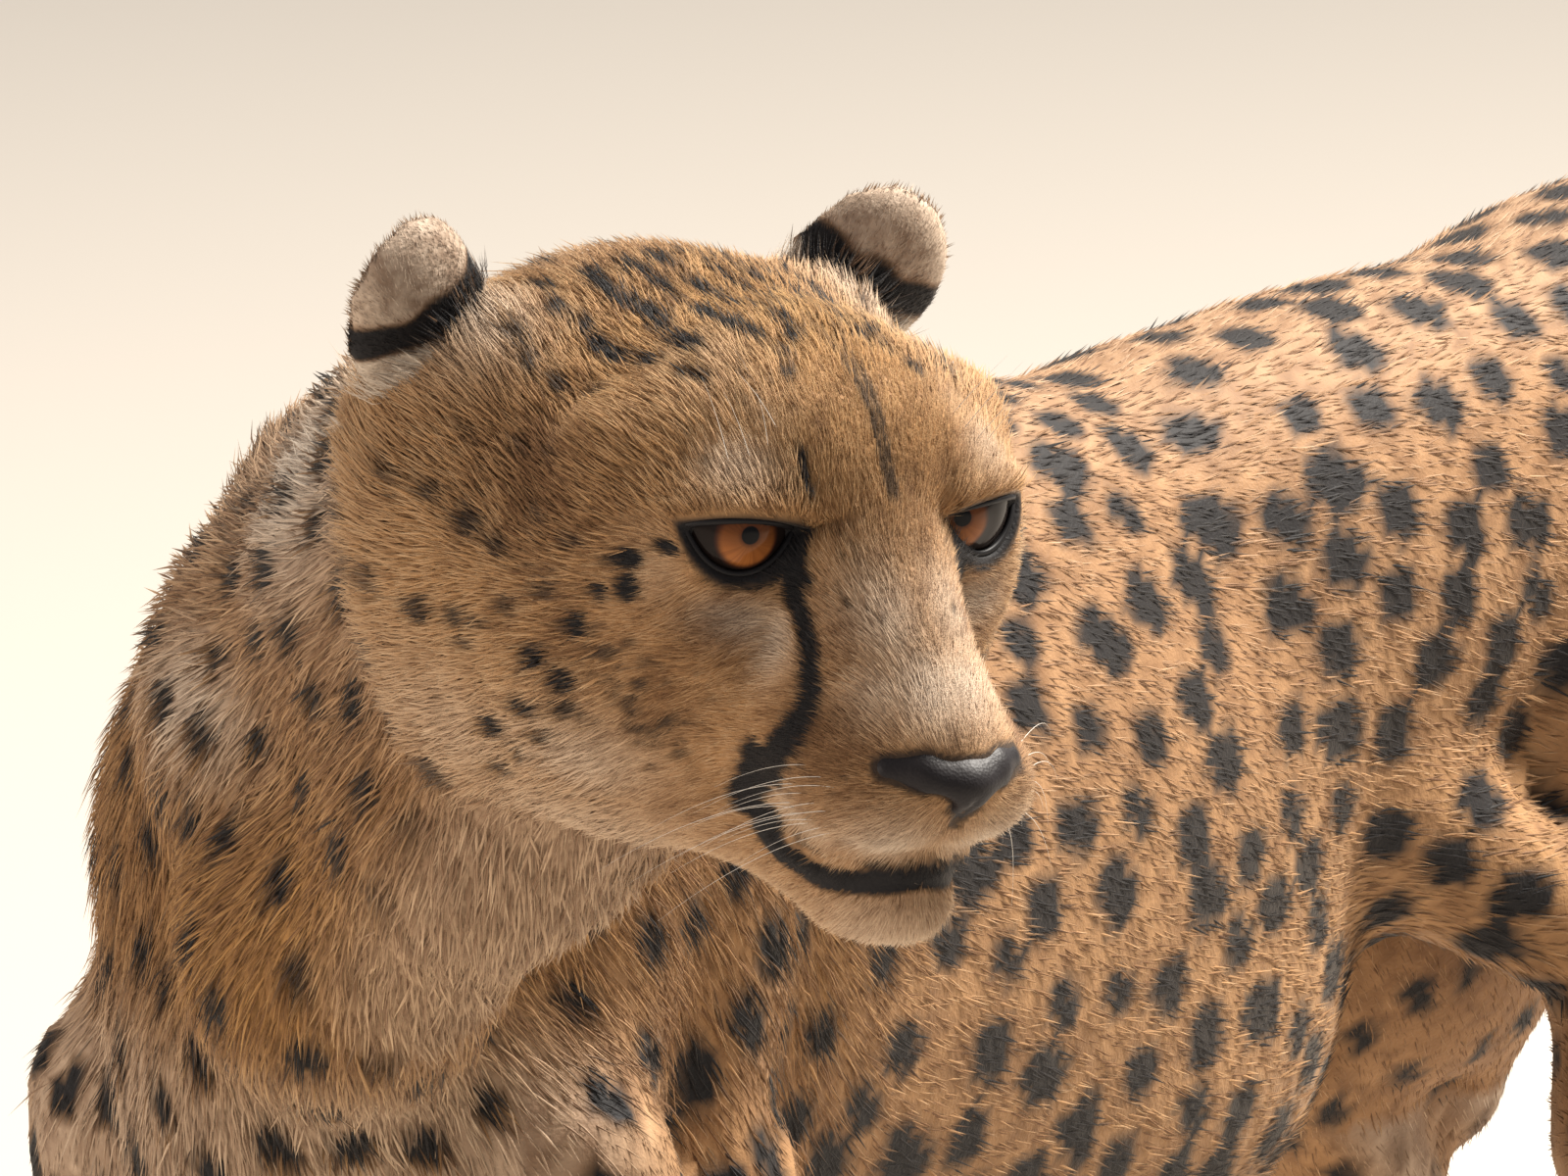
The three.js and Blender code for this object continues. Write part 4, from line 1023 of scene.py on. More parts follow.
class Paint:
    """A material in the making."""

    def __init__(self, name):
        self.material = bpy.data.materials.new(name)
        self.material.use_nodes = True
        self.tree = self.material.node_tree
        self.shader = self.tree.nodes["Principled BSDF"]

    def node(self, kind, inputs, **settings):
        made = self.tree.nodes.new("ShaderNode" + kind)
        for setting, value in settings.items():
            setattr(made, setting, value)
        for place, value in inputs.items():
            self.join(made.inputs[place], value)
        return made

    def join(self, socket, value):
        """Links a shade to a socket, or sets the socket to a number or a colour."""
        if isinstance(value, Shade):
            self.tree.links.new(value.socket, socket)
        elif isinstance(value, tuple) and len(socket.default_value) == 4:
            socket.default_value = (*value, 1)
        else:
            socket.default_value = value

    def attribute(self, name, output="Fac"):
        return Shade(self, self.node("Attribute", {}, attribute_name=name).outputs[output])

    def place(self):
        return Shade(self, self.node("TexCoord", {}).outputs["Object"])

    def noise(self, scale, detail=2.0, at=None):
        made = self.node("TexNoise", {"Vector": at or self.place(), "Scale": scale, "Detail": detail})
        return Shade(self, made.outputs["Fac"])

    def between(self, low, high, value):
        """0 below low, 1 above high."""
        made = self.node("MapRange", {"Value": value, "From Min": low, "From Max": high},
                         interpolation_type="SMOOTHSTEP")
        return Shade(self, made.outputs["Result"])

    def mix(self, amount, a, b):
        made = self.node("Mix", {0: amount, 6: a, 7: b}, data_type="RGBA")
        return Shade(self, made.outputs[2])

    def finish(self, **sockets):
        for name, value in sockets.items():
            self.join(self.shader.inputs[name.replace("_", " ")], value)
        return self.material


# Colours of the hair and of the hide under it; the dark brown stands for darker hair and for painted shade,
# the gold of the tips for painted light.
TAN, GOLD = (0.46, 0.27, 0.145), (0.47, 0.245, 0.08)
CREAM, BLACK = (0.76, 0.66, 0.54), (0.011, 0.010, 0.011)
DARK_HAIR_AND_SHADE, LIT_TIP_GOLD = (0.12, 0.052, 0.02), (0.80, 0.55, 0.25)


def paint_coat(name, tufted):
    """The coat's material; on tufts it also shows fine strands, painted shade at the roots and painted light
    on the tips.
    """
    paint = Paint(name)
    black, pale, gold, tone = (paint.attribute(n) for n in ("black", "pale", "gold", "tone"))
    colour = paint.mix(pale, paint.mix(gold, TAN, GOLD), CREAM)
    if tufted:
        along = paint.attribute("along")
        apart = paint.node("CombineXYZ", {0: paint.attribute("across") * 2.2 + tone * 300.0,
                                          1: along * 0.7}).outputs[0]
        strand = paint.between(0.36, 0.64, paint.noise(1.6, 1.0, at=Shade(paint, apart)))
        tone = tone + (strand - 0.5) * 0.34
        # Painted shade at the roots, deep in the coat.
        colour = paint.mix((1 - along) * 0.24 * (1 - pale * 0.7), colour, DARK_HAIR_AND_SHADE)
        # Painted light on the tips of the lighter hairs.
        colour = paint.mix(paint.between(0.4, 1.0, along) * 0.5 * tone, colour,
                           paint.mix(gold * (1 - pale), CREAM, LIT_TIP_GOLD))
        # Low tone darkens the hair: darker hairs here and there, and the painted shade that the tone
        # carries.
        colour = paint.mix((1 - tone) * (1 - tone) * (0.85 - 0.4 * pale), colour, DARK_HAIR_AND_SHADE)
    else:
        # On the hide too, low tone darkens: darker patches here and there, and painted shade.
        colour = paint.mix((1 - tone) * (1 - tone) * 0.6 + 0.22 * paint.noise(420.0, 3.0),
                           colour, DARK_HAIR_AND_SHADE)
    colour = paint.mix(black, colour, BLACK)
    bump = paint.node("Bump", {"Strength": 0.35, "Distance": 0.0008,
                               "Height": paint.noise(2400.0 if tufted else 900.0, 2.0)})
    return paint.finish(Base_Color=colour, Roughness=0.65, Specular_IOR_Level=0.2,
                        Sheen_Weight=0.12, Sheen_Roughness=0.4, Sheen_Tint=(1.0, 0.86, 0.7),
                        Normal=Shade(paint, bump.outputs[0]))


hide_paint = paint_coat("hide", False)
tuft_paint = paint_coat("tufts", True)

black, pale, gold = markings(hide_points, hide_lie, hide_parts, hide_head, 0.8)
tone = tone_of_hair(hide_points, hide_head, 40, 0.1)
for name, values in (("black", black), ("pale", pale), ("gold", gold), ("tone", tone)):
    hide.attributes.new(name, "FLOAT", "POINT").data.foreach_set("value", values)
hide.polygons.foreach_set("use_smooth", np.ones(len(hide.polygons), bool))
hide.materials.append(hide_paint)
skin = bpy.data.objects.new("skin", hide)
bpy.context.scene.collection.objects.link(skin)
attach(skin, "root")
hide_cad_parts(*FLESH_NODES)

# ------------------------------------------------------------------ coat
# Short flat fur, a little longer on the crown, cheeks, throat, neck and belly. Each tuft is a
# closed flat spike or, where the hair is long, a leaf that bends back to the body.
MAP_SHARE = 0.05                    # how much of the hide's faces the map keeps


def map_of_hide():
    """An unwrap of the hide's shape from a coarse copy: its faces' tree, corners and places."""
    coarse = bpy.data.objects.new("map of hide", hide.copy())
    bpy.context.scene.collection.objects.link(coarse)
    thin = coarse.modifiers.new("thin", "DECIMATE")
    thin.ratio = MAP_SHARE
    bpy.context.view_layer.update()
    mesh = bpy.data.meshes.new_from_object(
        coarse.evaluated_get(bpy.context.evaluated_depsgraph_get()))
    coarse.modifiers.clear()
    coarse.data = mesh
    bpy.context.view_layer.objects.active = coarse
    coarse.select_set(True)
    bpy.ops.object.mode_set(mode="EDIT")
    bpy.ops.mesh.select_all(action="SELECT")
    bpy.ops.uv.smart_project(angle_limit=math.radians(66), island_margin=0.004)
    bpy.ops.object.mode_set(mode="OBJECT")
    mesh.calc_loop_triangles()
    corners = [[mesh.vertices[v].co.copy() for v in t.vertices] for t in mesh.loop_triangles]
    layer = mesh.uv_layers.active.data
    flat = np.array([[layer[i].uv[:] for i in t.loops] for t in mesh.loop_triangles])
    tree = BVHTree.FromPolygons([c for t in corners for c in t],
                                [(3 * i, 3 * i + 1, 3 * i + 2) for i in range(len(corners))])
    bpy.data.objects.remove(coarse)
    return tree, np.array([[c[:] for c in t] for t in corners]), flat


def places_on_map(points, face_map):
    """Where body points, in millimetres, lie on the unwrapped map."""
    tree, corners, flat = face_map
    metres = (points + WITHERS) * MM
    face = np.array([tree.find_nearest(Vector(p))[2] for p in metres])
    a, b, c = corners[face].transpose(1, 0, 2)
    across = np.cross(b - a, c - a)
    size = np.maximum((across ** 2).sum(1), 1e-18)
    v = (np.cross(metres - a, c - a) * across).sum(1) / size
    w = (np.cross(b - a, metres - a) * across).sum(1) / size
    shares = np.clip(np.stack([1 - v - w, v, w], axis=1), 0, 1)
    shares /= shares.sum(1, keepdims=True)
    return (flat[face] * shares[:, :, None]).sum(1)


face_map = map_of_hide()
TUFT_MAP = 0.003
MOST_FACES = 190000                 # of one piece of the coat
LOWEST_TIP = 0.3
TIP_GAP = 0.5                       # how far a tip stands off the hide at least
CLUMP_PULL = 0.45

# A tuft's corners: the two at its sides, the ridge between them, the tip and, on a leaf, the
# point at its root. Faces are wound so that they look outwards; along runs from the root to the
# tip and across from side to side. The black of a corner is the root's at 0, the tip's at 1.
SPIKE = {"faces": [(1, 0, 3), (2, 1, 3), (0, 2, 3), (0, 1, 2)],
         "map": np.array([[-.4, -.4], [.4, -.4], [0, -.2], [0, .5]]),
         "along": [0.15, 0.15, 0.15, 1], "across": [-1, 1, 0, 0], "black": [0, 0, 0, 1]}
LEAF = {"faces": [(1, 0, 3), (2, 1, 3), (0, 2, 3), (0, 1, 4), (1, 2, 4), (2, 0, 4)],
        "map": np.array([[-.4, 0], [.4, 0], [0, .1], [0, .5], [0, -.5]]),
        "along": [0.5, 0.5, 0.5, 1, 0], "across": [-1, 1, 0, 0, 0], "black": [.4, .4, .4, 1, 0]}


def gathered(roots, normals, size, seed):
    """From each root towards the middle of its clump, along the hide."""
    warp = np.stack([ripple(roots, 4 * size, seed + a) for a in range(3)], axis=1) * 0.8 * size
    to_middle = (np.floor((roots + warp) / size) + 0.5) * size - roots - warp
    return to_middle - normals * (to_middle * normals).sum(1)[:, None]


def clear_of_hide(points, gap):
    """Points moved out until they stand this far, in millimetres, off the hide."""
    found = [hide_tree.find_nearest(Vector(p))[:2] for p in points]
    foot, out = (np.array([pair[k][:] for pair in found]) for k in (0, 1))
    return points + out * np.maximum(gap - ((points - foot) * out).sum(1), 0)[:, None]


def sow(rng, per_cm2):
    """Sows roots on the hide's faces; gives a function from values at its points to the roots'."""
    a, b, c = hide_points[hide_triangles].transpose(1, 0, 2)
    area = np.linalg.norm(np.cross(b - a, c - a), axis=1) / 200     # in square centimetres
    values = {"at": hide_points, "face": folded_head(hide_points), "on_head": hide_head, **hide_parts}
    thick = per_cm2(values)[hide_triangles].mean(1)
    number = np.floor(area * thick + rng.random(len(area))).astype(int)
    triangle = np.repeat(hide_triangles, number, axis=0)
    u, v = rng.random((2, len(triangle)))
    u, v = np.where(u + v > 1, [1 - u, 1 - v], [u, v])
    shares = np.stack([1 - u - v, u, v], axis=1)[:, :, None]

    def at_roots(value):
        value = value if value.ndim == 2 else value[:, None]
        found = (value[triangle] * shares).sum(1)
        return found if found.shape[1] > 1 else found[:, 0]
    return at_roots


def write_tufts(name, shape, corners, values, uv, looks):
    """Tufts of one shape as one or more pieces of the coat, none of them too large."""
    (count, n), per = corners.shape[:2], len(shape["faces"])
    pieces = math.ceil(count * per / MOST_FACES)
    for piece in range(pieces):
        first, last = (count * piece // pieces, count * (piece + 1) // pieces)
        faces = (np.arange(last - first)[:, None, None] * n + np.array(shape["faces"])).reshape(-1, 3)
        mesh = bpy.data.meshes.new(f"{name}_{piece + 1}")
        mesh.vertices.add((last - first) * n)
        mesh.vertices.foreach_set("co", ((corners[first:last] + WITHERS) * MM).ravel())
        mesh.loops.add(faces.size)
        mesh.loops.foreach_set("vertex_index", faces.ravel())
        mesh.polygons.add(len(faces))
        mesh.polygons.foreach_set("loop_start", np.arange(0, faces.size, 3))
        mesh.update(calc_edges=True)
        for key, value in values.items():
            own = np.array(value[first:last], float).ravel()
            mesh.attributes.new(key, "FLOAT", "POINT").data.foreach_set("value", own)
        layer = mesh.uv_layers.new(name="OFBake")
        layer.data.foreach_set("uv", uv[first:last].reshape(-1, 2)[faces.ravel()].ravel())
        mesh.polygons.foreach_set("use_smooth", np.ones(len(faces), bool))
        mesh.normals_split_custom_set(looks[first:last].reshape(-1, 3))
        mesh.materials.append(tuft_paint)
        tufts = bpy.data.objects.new(f"{name}_{piece + 1}", mesh)
        bpy.context.scene.collection.objects.link(tufts)
        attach(tufts, "root")


def grow(name, seed, per_cm2, length, width, lift, leaf=False, ruffle=0.12, clump=2.5, sink=0.6,
         ahead=0.35):
    """Tufts over the hide. per_cm2, length, width (mm) and lift (radians) give a number for each
    root from its values: place, head place, parts and share of the head. The tips of a clump lean
    together, and a tuft takes its colour from the place where it shows."""
    rng = np.random.default_rng(seed)
    at_roots = sow(rng, per_cm2)
    roots, normals = at_roots(hide_points), unit(at_roots(hide_normals))
    lie, head_share = unit(at_roots(hide_lie)), at_roots(hide_head)
    parts = {k: at_roots(v) for k, v in hide_parts.items()}
    values = {"at": roots, "face": folded_head(roots), "on_head": head_share, **parts}
    count = len(roots)
    reach = lie * length(values)[:, None]
    black, pale, gold = markings(roots + reach * ahead, lie, parts, head_share, 0.25)
    black_tip = markings(roots + reach * (ahead + 0.5), lie, parts, head_share, 0.25)[0]
    tone = tone_of_hair(roots, head_share, seed, 0.15)

    side = np.cross(lie, normals)
    lie = unit(lie + side * (ruffle * rng.normal(size=count)
                             + 1.6 * ruffle * ripple(roots, 14.0, seed))[:, None])
    side = unit(np.cross(lie, normals))
    above = np.cross(side, lie)
    long = length(values) * rng.uniform(0.75, 1.2, count)
    wide = width(values) * rng.uniform(0.7, 1.25, count)
    rise = lift(values) * rng.uniform(0.6, 1.5, count) + 0.5 * ruffle * rng.normal(size=count)
    long, wide, rise = long[:, None], wide[:, None], rise[:, None]
    half, start = side * wide / 2, roots - above * sink
    lean = gathered(roots, normals, clump, seed) * CLUMP_PULL
    under, right, left_side = -above, unit(normals + side * 0.5), unit(normals - side * 0.5)
    if leaf:
        middle = start + (lie * np.cos(rise * 1.4) + above * np.sin(rise * 1.4)) * long * 0.45
        tip = middle + (lie * np.cos(rise * 0.5) + above * np.sin(rise * 0.5)) * long * 0.55 + lean
        middle += lean * 0.35
        tip = clear_of_hide(tip, TIP_GAP)
        corners = [middle - half, middle + half, middle + above * wide * 0.3, tip, start]
        shape, looks = LEAF, [under, right, left_side] * 2
    else:
        tip = start + (lie * np.cos(rise) + above * np.sin(rise)) * long + lean
        tip = clear_of_hide(tip, TIP_GAP)
        corners = [start - half, start + half, start + above * wide * 0.35, tip]
        shape, looks = SPIKE, [under, right, left_side, -lie]
    corners = np.stack(corners, axis=1)
    corners[:, :, 2] = np.maximum(corners[:, :, 2], LOWEST_TIP)

    size = (count, corners.shape[1])
    colours = {"black": black[:, None] + (black_tip - black)[:, None] * shape["black"],
               "along": np.broadcast_to(shape["along"], size),
               "across": np.broadcast_to(shape["across"], size)}
    for key, value in (("pale", pale), ("gold", gold), ("tone", tone)):
        colours[key] = np.broadcast_to(value[:, None], size)
    uv = places_on_map(roots, face_map)[:, None] + shape["map"] * TUFT_MAP
    write_tufts(name, shape, corners, colours, uv, np.repeat(np.stack(looks, axis=1), 3, axis=1))


def off_lids(v):
    """No tufts inside the lids, on the nose pad or in the mouth."""
    lid, place = np.full(len(v["at"]), 1.0), to_head(v["at"])
    for side in SIDES.values():
        opening, reach = lid_opening(place, side)
        lid = np.where((opening < 0.8) & (reach < EYE_RADIUS + 5), 0.0, lid)
    lip = smoothstep(1.5, 2.6, path_distance(v["face"], MOUTH))
    lip *= smoothstep(1.6, 2.6, path_distance(v["face"], LOWER_LIP))
    return lid * lip * (nose_field(v["face"]) > 0.3)


def forward_share(v):
    """1 on the muzzle and round the eyes, 0 from the crown and cheeks back."""
    return smoothstep(-100, -70, v["face"][:, 0])


def ear_share(v):
    """1 on the ears."""
    place = to_head(v["at"])
    near = np.minimum(*(ear_distance(place, side) for side in SIDES.values()))
    return smoothstep(5, 0, near) * (v["face"][:, 1] > 40)


def belly_share(v):
    """1 under the trunk."""
    return smoothstep(520, 470, v["at"][:, 2]) * (v["trunk"] < v["legs"])


def leg_share(v):
    """1 on the legs."""
    return smoothstep(6, -6, v["legs"] - v["trunk"])


def ear_root(v):
    """1 on the head in front of and round the foot of the ear."""
    gap = np.linalg.norm(v["face"] - [-158, 50, 36], axis=1)
    return smoothstep(17, 9, gap) * (1 - ear_share(v))


def ruff_share(v):
    """1 at the back of the cheeks and the skull, where the hair runs on to the neck."""
    return smoothstep(-118, -150, v["face"][:, 0]) * smoothstep(40, 20, v["face"][:, 2])


def brow_share(v):
    """1 on the brow just over the upper lid, where the hair stands out over the eye."""
    found, place = np.zeros(len(v["at"])), to_head(v["at"])
    for side in SIDES.values():
        opening, reach = lid_opening(place, side)
        height = ((place - mirrored(EYE_AT, side)) @ lid_axes(side).T)[:, 2]
        band = smoothstep(7.5, 5.0, opening) * (opening > 1.5) * smoothstep(3.0, 5.0, height)
        found = np.maximum(found, band * (reach < EYE_RADIUS + 7))
    return found


grow("face_fur", 1,
     lambda v: v["on_head"] * off_lids(v) * (100 + 160 * forward_share(v)),
     lambda v: 7.0 - 2.4 * forward_share(v) - 4.2 * ear_share(v),
     lambda v: 0.46 - 0.06 * forward_share(v),
     lambda v: 0.28 - 0.12 * ear_share(v), clump=2.2, sink=0.35, ahead=0.25)
grow("head_locks", 2,
     lambda v: v["on_head"] * off_lids(v) * ((1 - forward_share(v)) * (1 - ear_share(v)) * 116
                                             + 160 * brow_share(v) + 60 * ear_root(v)),
     lambda v: 8.5 + 7 * ruff_share(v) + 3 * ear_root(v) - 3 * brow_share(v),
     lambda v: 0.46 - 0.06 * brow_share(v),
     lambda v: 0.34 + 0.10 * smoothstep(30, 50, v["face"][:, 2]) + 0.3 * brow_share(v),
     leaf=True, clump=3.0, ahead=0.35)
grow("neck_locks", 3,
     lambda v: (1 - v["on_head"]) * share_of_neck(v) * 13,
     lambda v: 15.0 + 0 * v["on_head"],
     lambda v: 0.7 + 0 * v["on_head"],
     lambda v: 0.2 + 0 * v["on_head"], leaf=True, ruffle=0.12, clump=5.0, ahead=0.3)
grow("body_fur", 4,
     lambda v: (1 - v["on_head"]) * (11.6 + 2 * leg_share(v) + 4 * share_of_neck(v)),
     lambda v: 9.5 - 3.2 * leg_share(v) + 7 * belly_share(v) - 3 * smoothstep(90, 50, v["at"][:, 2])
     + 3 * share_of_neck(v),
     lambda v: 1.2 - 0.3 * leg_share(v) - 0.3 * share_of_neck(v),
     lambda v: 0.15 + 0.1 * belly_share(v) + 0.06 * share_of_neck(v), ruffle=0.08, clump=4.5, ahead=0.15)

# ------------------------------------------------------------------ eyes
# Each eyeball is glossy, with a bulging clear front over an amber iris and a small round pupil;
# what shows of its white is nearly black. Both look the same way, a little to the right.
GAZE = unit(np.array([0.960, -0.249, 0.150]))
IRIS_RADIUS, PUPIL_RADIUS, CORNEA_RISE = 7.9, 2.0, 1.5
PUPIL_UP = 1.2
EYE_SIDES = 72
LID_RIM, RIM_STAND_OFF, RIM_BENDS = 0.8, 0.9, 40
# AMBER is the iris with painted light on its lower part, SHADED_AMBER the same iris with painted shade under
# the upper lid.
AMBER, SHADED_AMBER, STREAK = (0.36, 0.125, 0.032), (0.075, 0.025, 0.009), (0.16, 0.05, 0.015)
PUPIL_EDGE, IRIS_EDGE = (0.07, 0.022, 0.01), (0.03, 0.012, 0.008)
PUPIL_BLACK, EYE_BLACK = (0.003, 0.003, 0.004), (0.012, 0.008, 0.007)


def tube(path, radii, sides, closed=False):
    """Points and faces of a round tube along a path in millimetres."""
    path, count = np.asarray(path, float), len(path)
    along = np.roll(path, -1, 0) - np.roll(path, 1, 0) if closed else np.gradient(path, axis=0)
    along = unit(along)
    across = unit(np.cross(along, np.cross(along[0], along[0][[1, 2, 0]] + [0.3, 0.1, 0])))
    other = np.cross(along, across)
    turn = np.arange(sides) * 2 * math.pi / sides
    ring = across[:, None] * np.cos(turn)[:, None] + other[:, None] * np.sin(turn)[:, None]
    points = (path[:, None] + ring * np.asarray(radii, float)[:, None, None]).reshape(-1, 3)
    faces = []
    for i in range(count if closed else count - 1):
        for j in range(sides):
            a, b = i * sides + j, i * sides + (j + 1) % sides
            c, d = (b + sides) % len(points), (a + sides) % len(points)
            faces.append((a, b, c, d))
    if not closed:
        faces += [tuple(range(sides))[::-1], tuple(range(len(points) - sides, len(points)))]
    return points, faces


def join_pieces(name, pieces):
    """One mesh from several lists of points and faces in millimetres of the body's frame."""
    points, faces, start = [], [], 0
    for part, part_faces in pieces:
        points.append(part)
        faces += [tuple(i + start for i in face) for face in part_faces]
        start += len(part)
    mesh = bpy.data.meshes.new(name)
    mesh.from_pydata(((np.concatenate(points) + WITHERS) * MM).tolist(), [], faces)
    work = bmesh.new()
    work.from_mesh(mesh)
    bmesh.ops.recalc_face_normals(work, faces=work.faces)
    work.to_mesh(mesh)
    work.free()
    mesh.polygons.foreach_set("use_smooth", np.ones(len(mesh.polygons), bool))
    return mesh


def add_piece(name, mesh, slot, *nodes):
    piece = bpy.data.objects.new(name, mesh)
    bpy.context.scene.collection.objects.link(piece)
    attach(piece, "root")
    if nodes:
        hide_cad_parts(*nodes)
    return piece


def paint_eye():
    """Amber with painted shade under the upper lid and painted light on its lower part, with fine streaks
    round a black pupil.
    """
    paint = Paint("eye")
    flat = paint.attribute("iris", "Vector")

    def measured(kind, output, inputs):
        return Shade(paint, paint.node("VectorMath", inputs, operation=kind).outputs[output])

    away = measured("LENGTH", "Value", {0: flat})
    streaks = paint.noise(7.0, 3.0, at=measured("NORMALIZE", "Vector", {0: flat}))
    height = Shade(paint, paint.node("SeparateXYZ", {0: flat}).outputs["Y"])
    # Painted shade of the upper lid at the top of the iris, painted light towards its bottom.
    colour = paint.mix(paint.between(4.0, -6.0, height), SHADED_AMBER, AMBER)
    colour = paint.mix(paint.between(0.35, 0.7, streaks) * 0.55, colour, STREAK)
    pupil = measured("DISTANCE", "Value", {0: flat, 1: (0, PUPIL_UP, 0)})
    colour = paint.mix(paint.between(PUPIL_RADIUS + 1.1, PUPIL_RADIUS, pupil) * 0.7, colour, PUPIL_EDGE)
    colour = paint.mix(paint.between(IRIS_RADIUS - 2.2, IRIS_RADIUS - 0.2, away), colour, IRIS_EDGE)
    colour = paint.mix(paint.between(IRIS_RADIUS - 0.3, IRIS_RADIUS + 0.2, away), colour, EYE_BLACK)
    colour = paint.mix(paint.between(PUPIL_RADIUS + 0.15, PUPIL_RADIUS - 0.15, pupil), colour,
                       PUPIL_BLACK)
    return paint.finish(Base_Color=colour, Roughness=0.6, Specular_IOR_Level=0.02,
                        Coat_Weight=0.4, Coat_Roughness=0.03, Coat_IOR=1.38)


def add_eyeball(name, side):
    """A ball drawn in rings round the line of sight, with a bulging front."""
    tilt = np.concatenate([np.linspace(0, 0.5, 40), np.linspace(0.53, math.pi, 34)])[1:-1]
    turns = np.arange(EYE_SIDES) * 2 * math.pi / EYE_SIDES
    across = unit(np.cross([0, 0, 1], GAZE))
    above = np.cross(GAZE, across)
    ring = np.cos(turns)[:, None] * across + np.sin(turns)[:, None] * above
    ways = np.concatenate([[GAZE], (np.cos(tilt)[:, None, None] * GAZE
                                    + np.sin(tilt)[:, None, None] * ring).reshape(-1, 3), [-GAZE]])
    off_axis = np.arccos(np.clip(ways @ GAZE, -1, 1)) * EYE_RADIUS
    bulge = CORNEA_RISE * smoothstep(IRIS_RADIUS + 2.4, IRIS_RADIUS * 0.2, off_axis)
    points = mirrored(EYE_AT, side) + ways * (EYE_RADIUS + bulge)[:, None]
    faces, last = [], len(ways) - 1
    for j in range(EYE_SIDES):
        beside = (j + 1) % EYE_SIDES
        starts = [1 + i * EYE_SIDES for i in range(len(tilt))]
        faces.append((0, 1 + j, 1 + beside))
        faces += [(a + j, b + j, b + beside, a + beside) for a, b in zip(starts, starts[1:])]
        faces.append((last, starts[-1] + beside, starts[-1] + j))
    eye = join_pieces("eye", [(from_head(points), faces)])
    iris = np.stack([ways @ across, ways @ above, 0 * off_axis], axis=1)
    iris = unit(iris) * off_axis[:, None] * [1, 1, 0]
    eye.attributes.new("iris", "FLOAT_VECTOR", "POINT").data.foreach_set("vector", iris.ravel())
    eye.materials.append(eye_paint)
    add_piece(f"eyeball_{name}", eye, "eye", f"eye_{name}")


def add_lid_rim(name, side):
    """The wet black rim of the lids, a thin tube round their opening."""
    run = np.linspace(-1, 1, RIM_BENDS)
    edge = np.concatenate([np.stack([run, LID_CORNER + LID_UP * (1 - run ** 2)], 1),
                           np.stack([run, LID_CORNER - LID_DOWN * (1 - run ** 2)], 1)[-2:0:-1]])
    angles = np.stack([edge[:, 0] * LID_LENGTH, edge[:, 1]], 1) / EYE_RADIUS
    local = np.stack([np.sqrt(1 - (np.sin(angles) ** 2).sum(1)), *np.sin(angles).T], axis=1)
    path = mirrored(EYE_AT, side) + (EYE_RADIUS + RIM_STAND_OFF) * local @ lid_axes(side)
    rim = join_pieces("rim", [tube(from_head(path), np.full(len(path), LID_RIM), 8, closed=True)])
    rim.materials.append(wet_black)
    add_piece(f"lid_rim_{name}", rim, "eye")


eye_paint = paint_eye()
wet_black = Paint("wet black").finish(Base_Color=(0.010, 0.009, 0.010), Roughness=0.5,
                                      Specular_IOR_Level=0.2)
for name, side in SIDES.items():
    add_eyeball(name, side)
    add_lid_rim(name, side)

# ------------------------------------------------------------------ nose
# A bare, pebbled, blackish pad of cartilage and skin, with comma-shaped nostrils that open to
# the sides and a groove down its middle.
NOSE_GRAIN = 0.55
NOSE_BOX = ((-24, 3), (-20, 20), (-18, 8))
NOSE_FAR = 5.0


def paint_nose():
    paint = Paint("nose")
    pebbles = paint.node("TexVoronoi", {"Vector": paint.place(), "Scale": 1300.0}).outputs["Distance"]
    grain = paint.node("Bump", {"Strength": 0.25, "Distance": 0.0003, "Height": Shade(paint, pebbles)})
    return paint.finish(Base_Color=(0.016, 0.013, 0.014), Roughness=0.5, Specular_IOR_Level=0.22,
                        Normal=Shade(paint, grain.outputs[0]))


def add_nose():
    """The pad's surface, drawn round its field on a fine grid."""
    axes = [np.arange(low, high, NOSE_GRAIN) for low, high in NOSE_BOX]
    grid = np.stack(np.meshgrid(*axes, indexing="ij"), axis=-1).reshape(-1, 3)
    volume = openvdb.FloatGrid(NOSE_FAR)
    volume.copyFromArray(nose_field(grid).reshape([len(a) for a in axes]).astype(np.float32))
    points, faces = volume.convertToQuads(isovalue=0.0)[:2]
    points = points * NOSE_GRAIN + [a[0] for a in axes]
    nose = join_pieces("nose_pad", [(from_head(points), [tuple(f) for f in faces])])
    nose.materials.append(paint_nose())
    add_piece("nose_pad", nose, "nose", "nose")


add_nose()

# ------------------------------------------------------------------ whiskers
# Stiff pale hairs rooted in dark rows on each pad of the upper lip, and a few over each eye.
# Each is a thin tube that tapers to nothing and droops back.
WHISKER_BENDS, WHISKER_SIDES = 12, 5
WHISKER_RADIUS, WHISKER_TIP_SHARE = 0.1, 0.12
WHISKER_SUNK = 1.5
LIP_DROOP, BROW_DROOP = 1.5, 0.45
BROW_WHISKERS = ((-71, 26, 52), (-70, 31, 50), (-72, 35, 48), (-74, 22, 54))


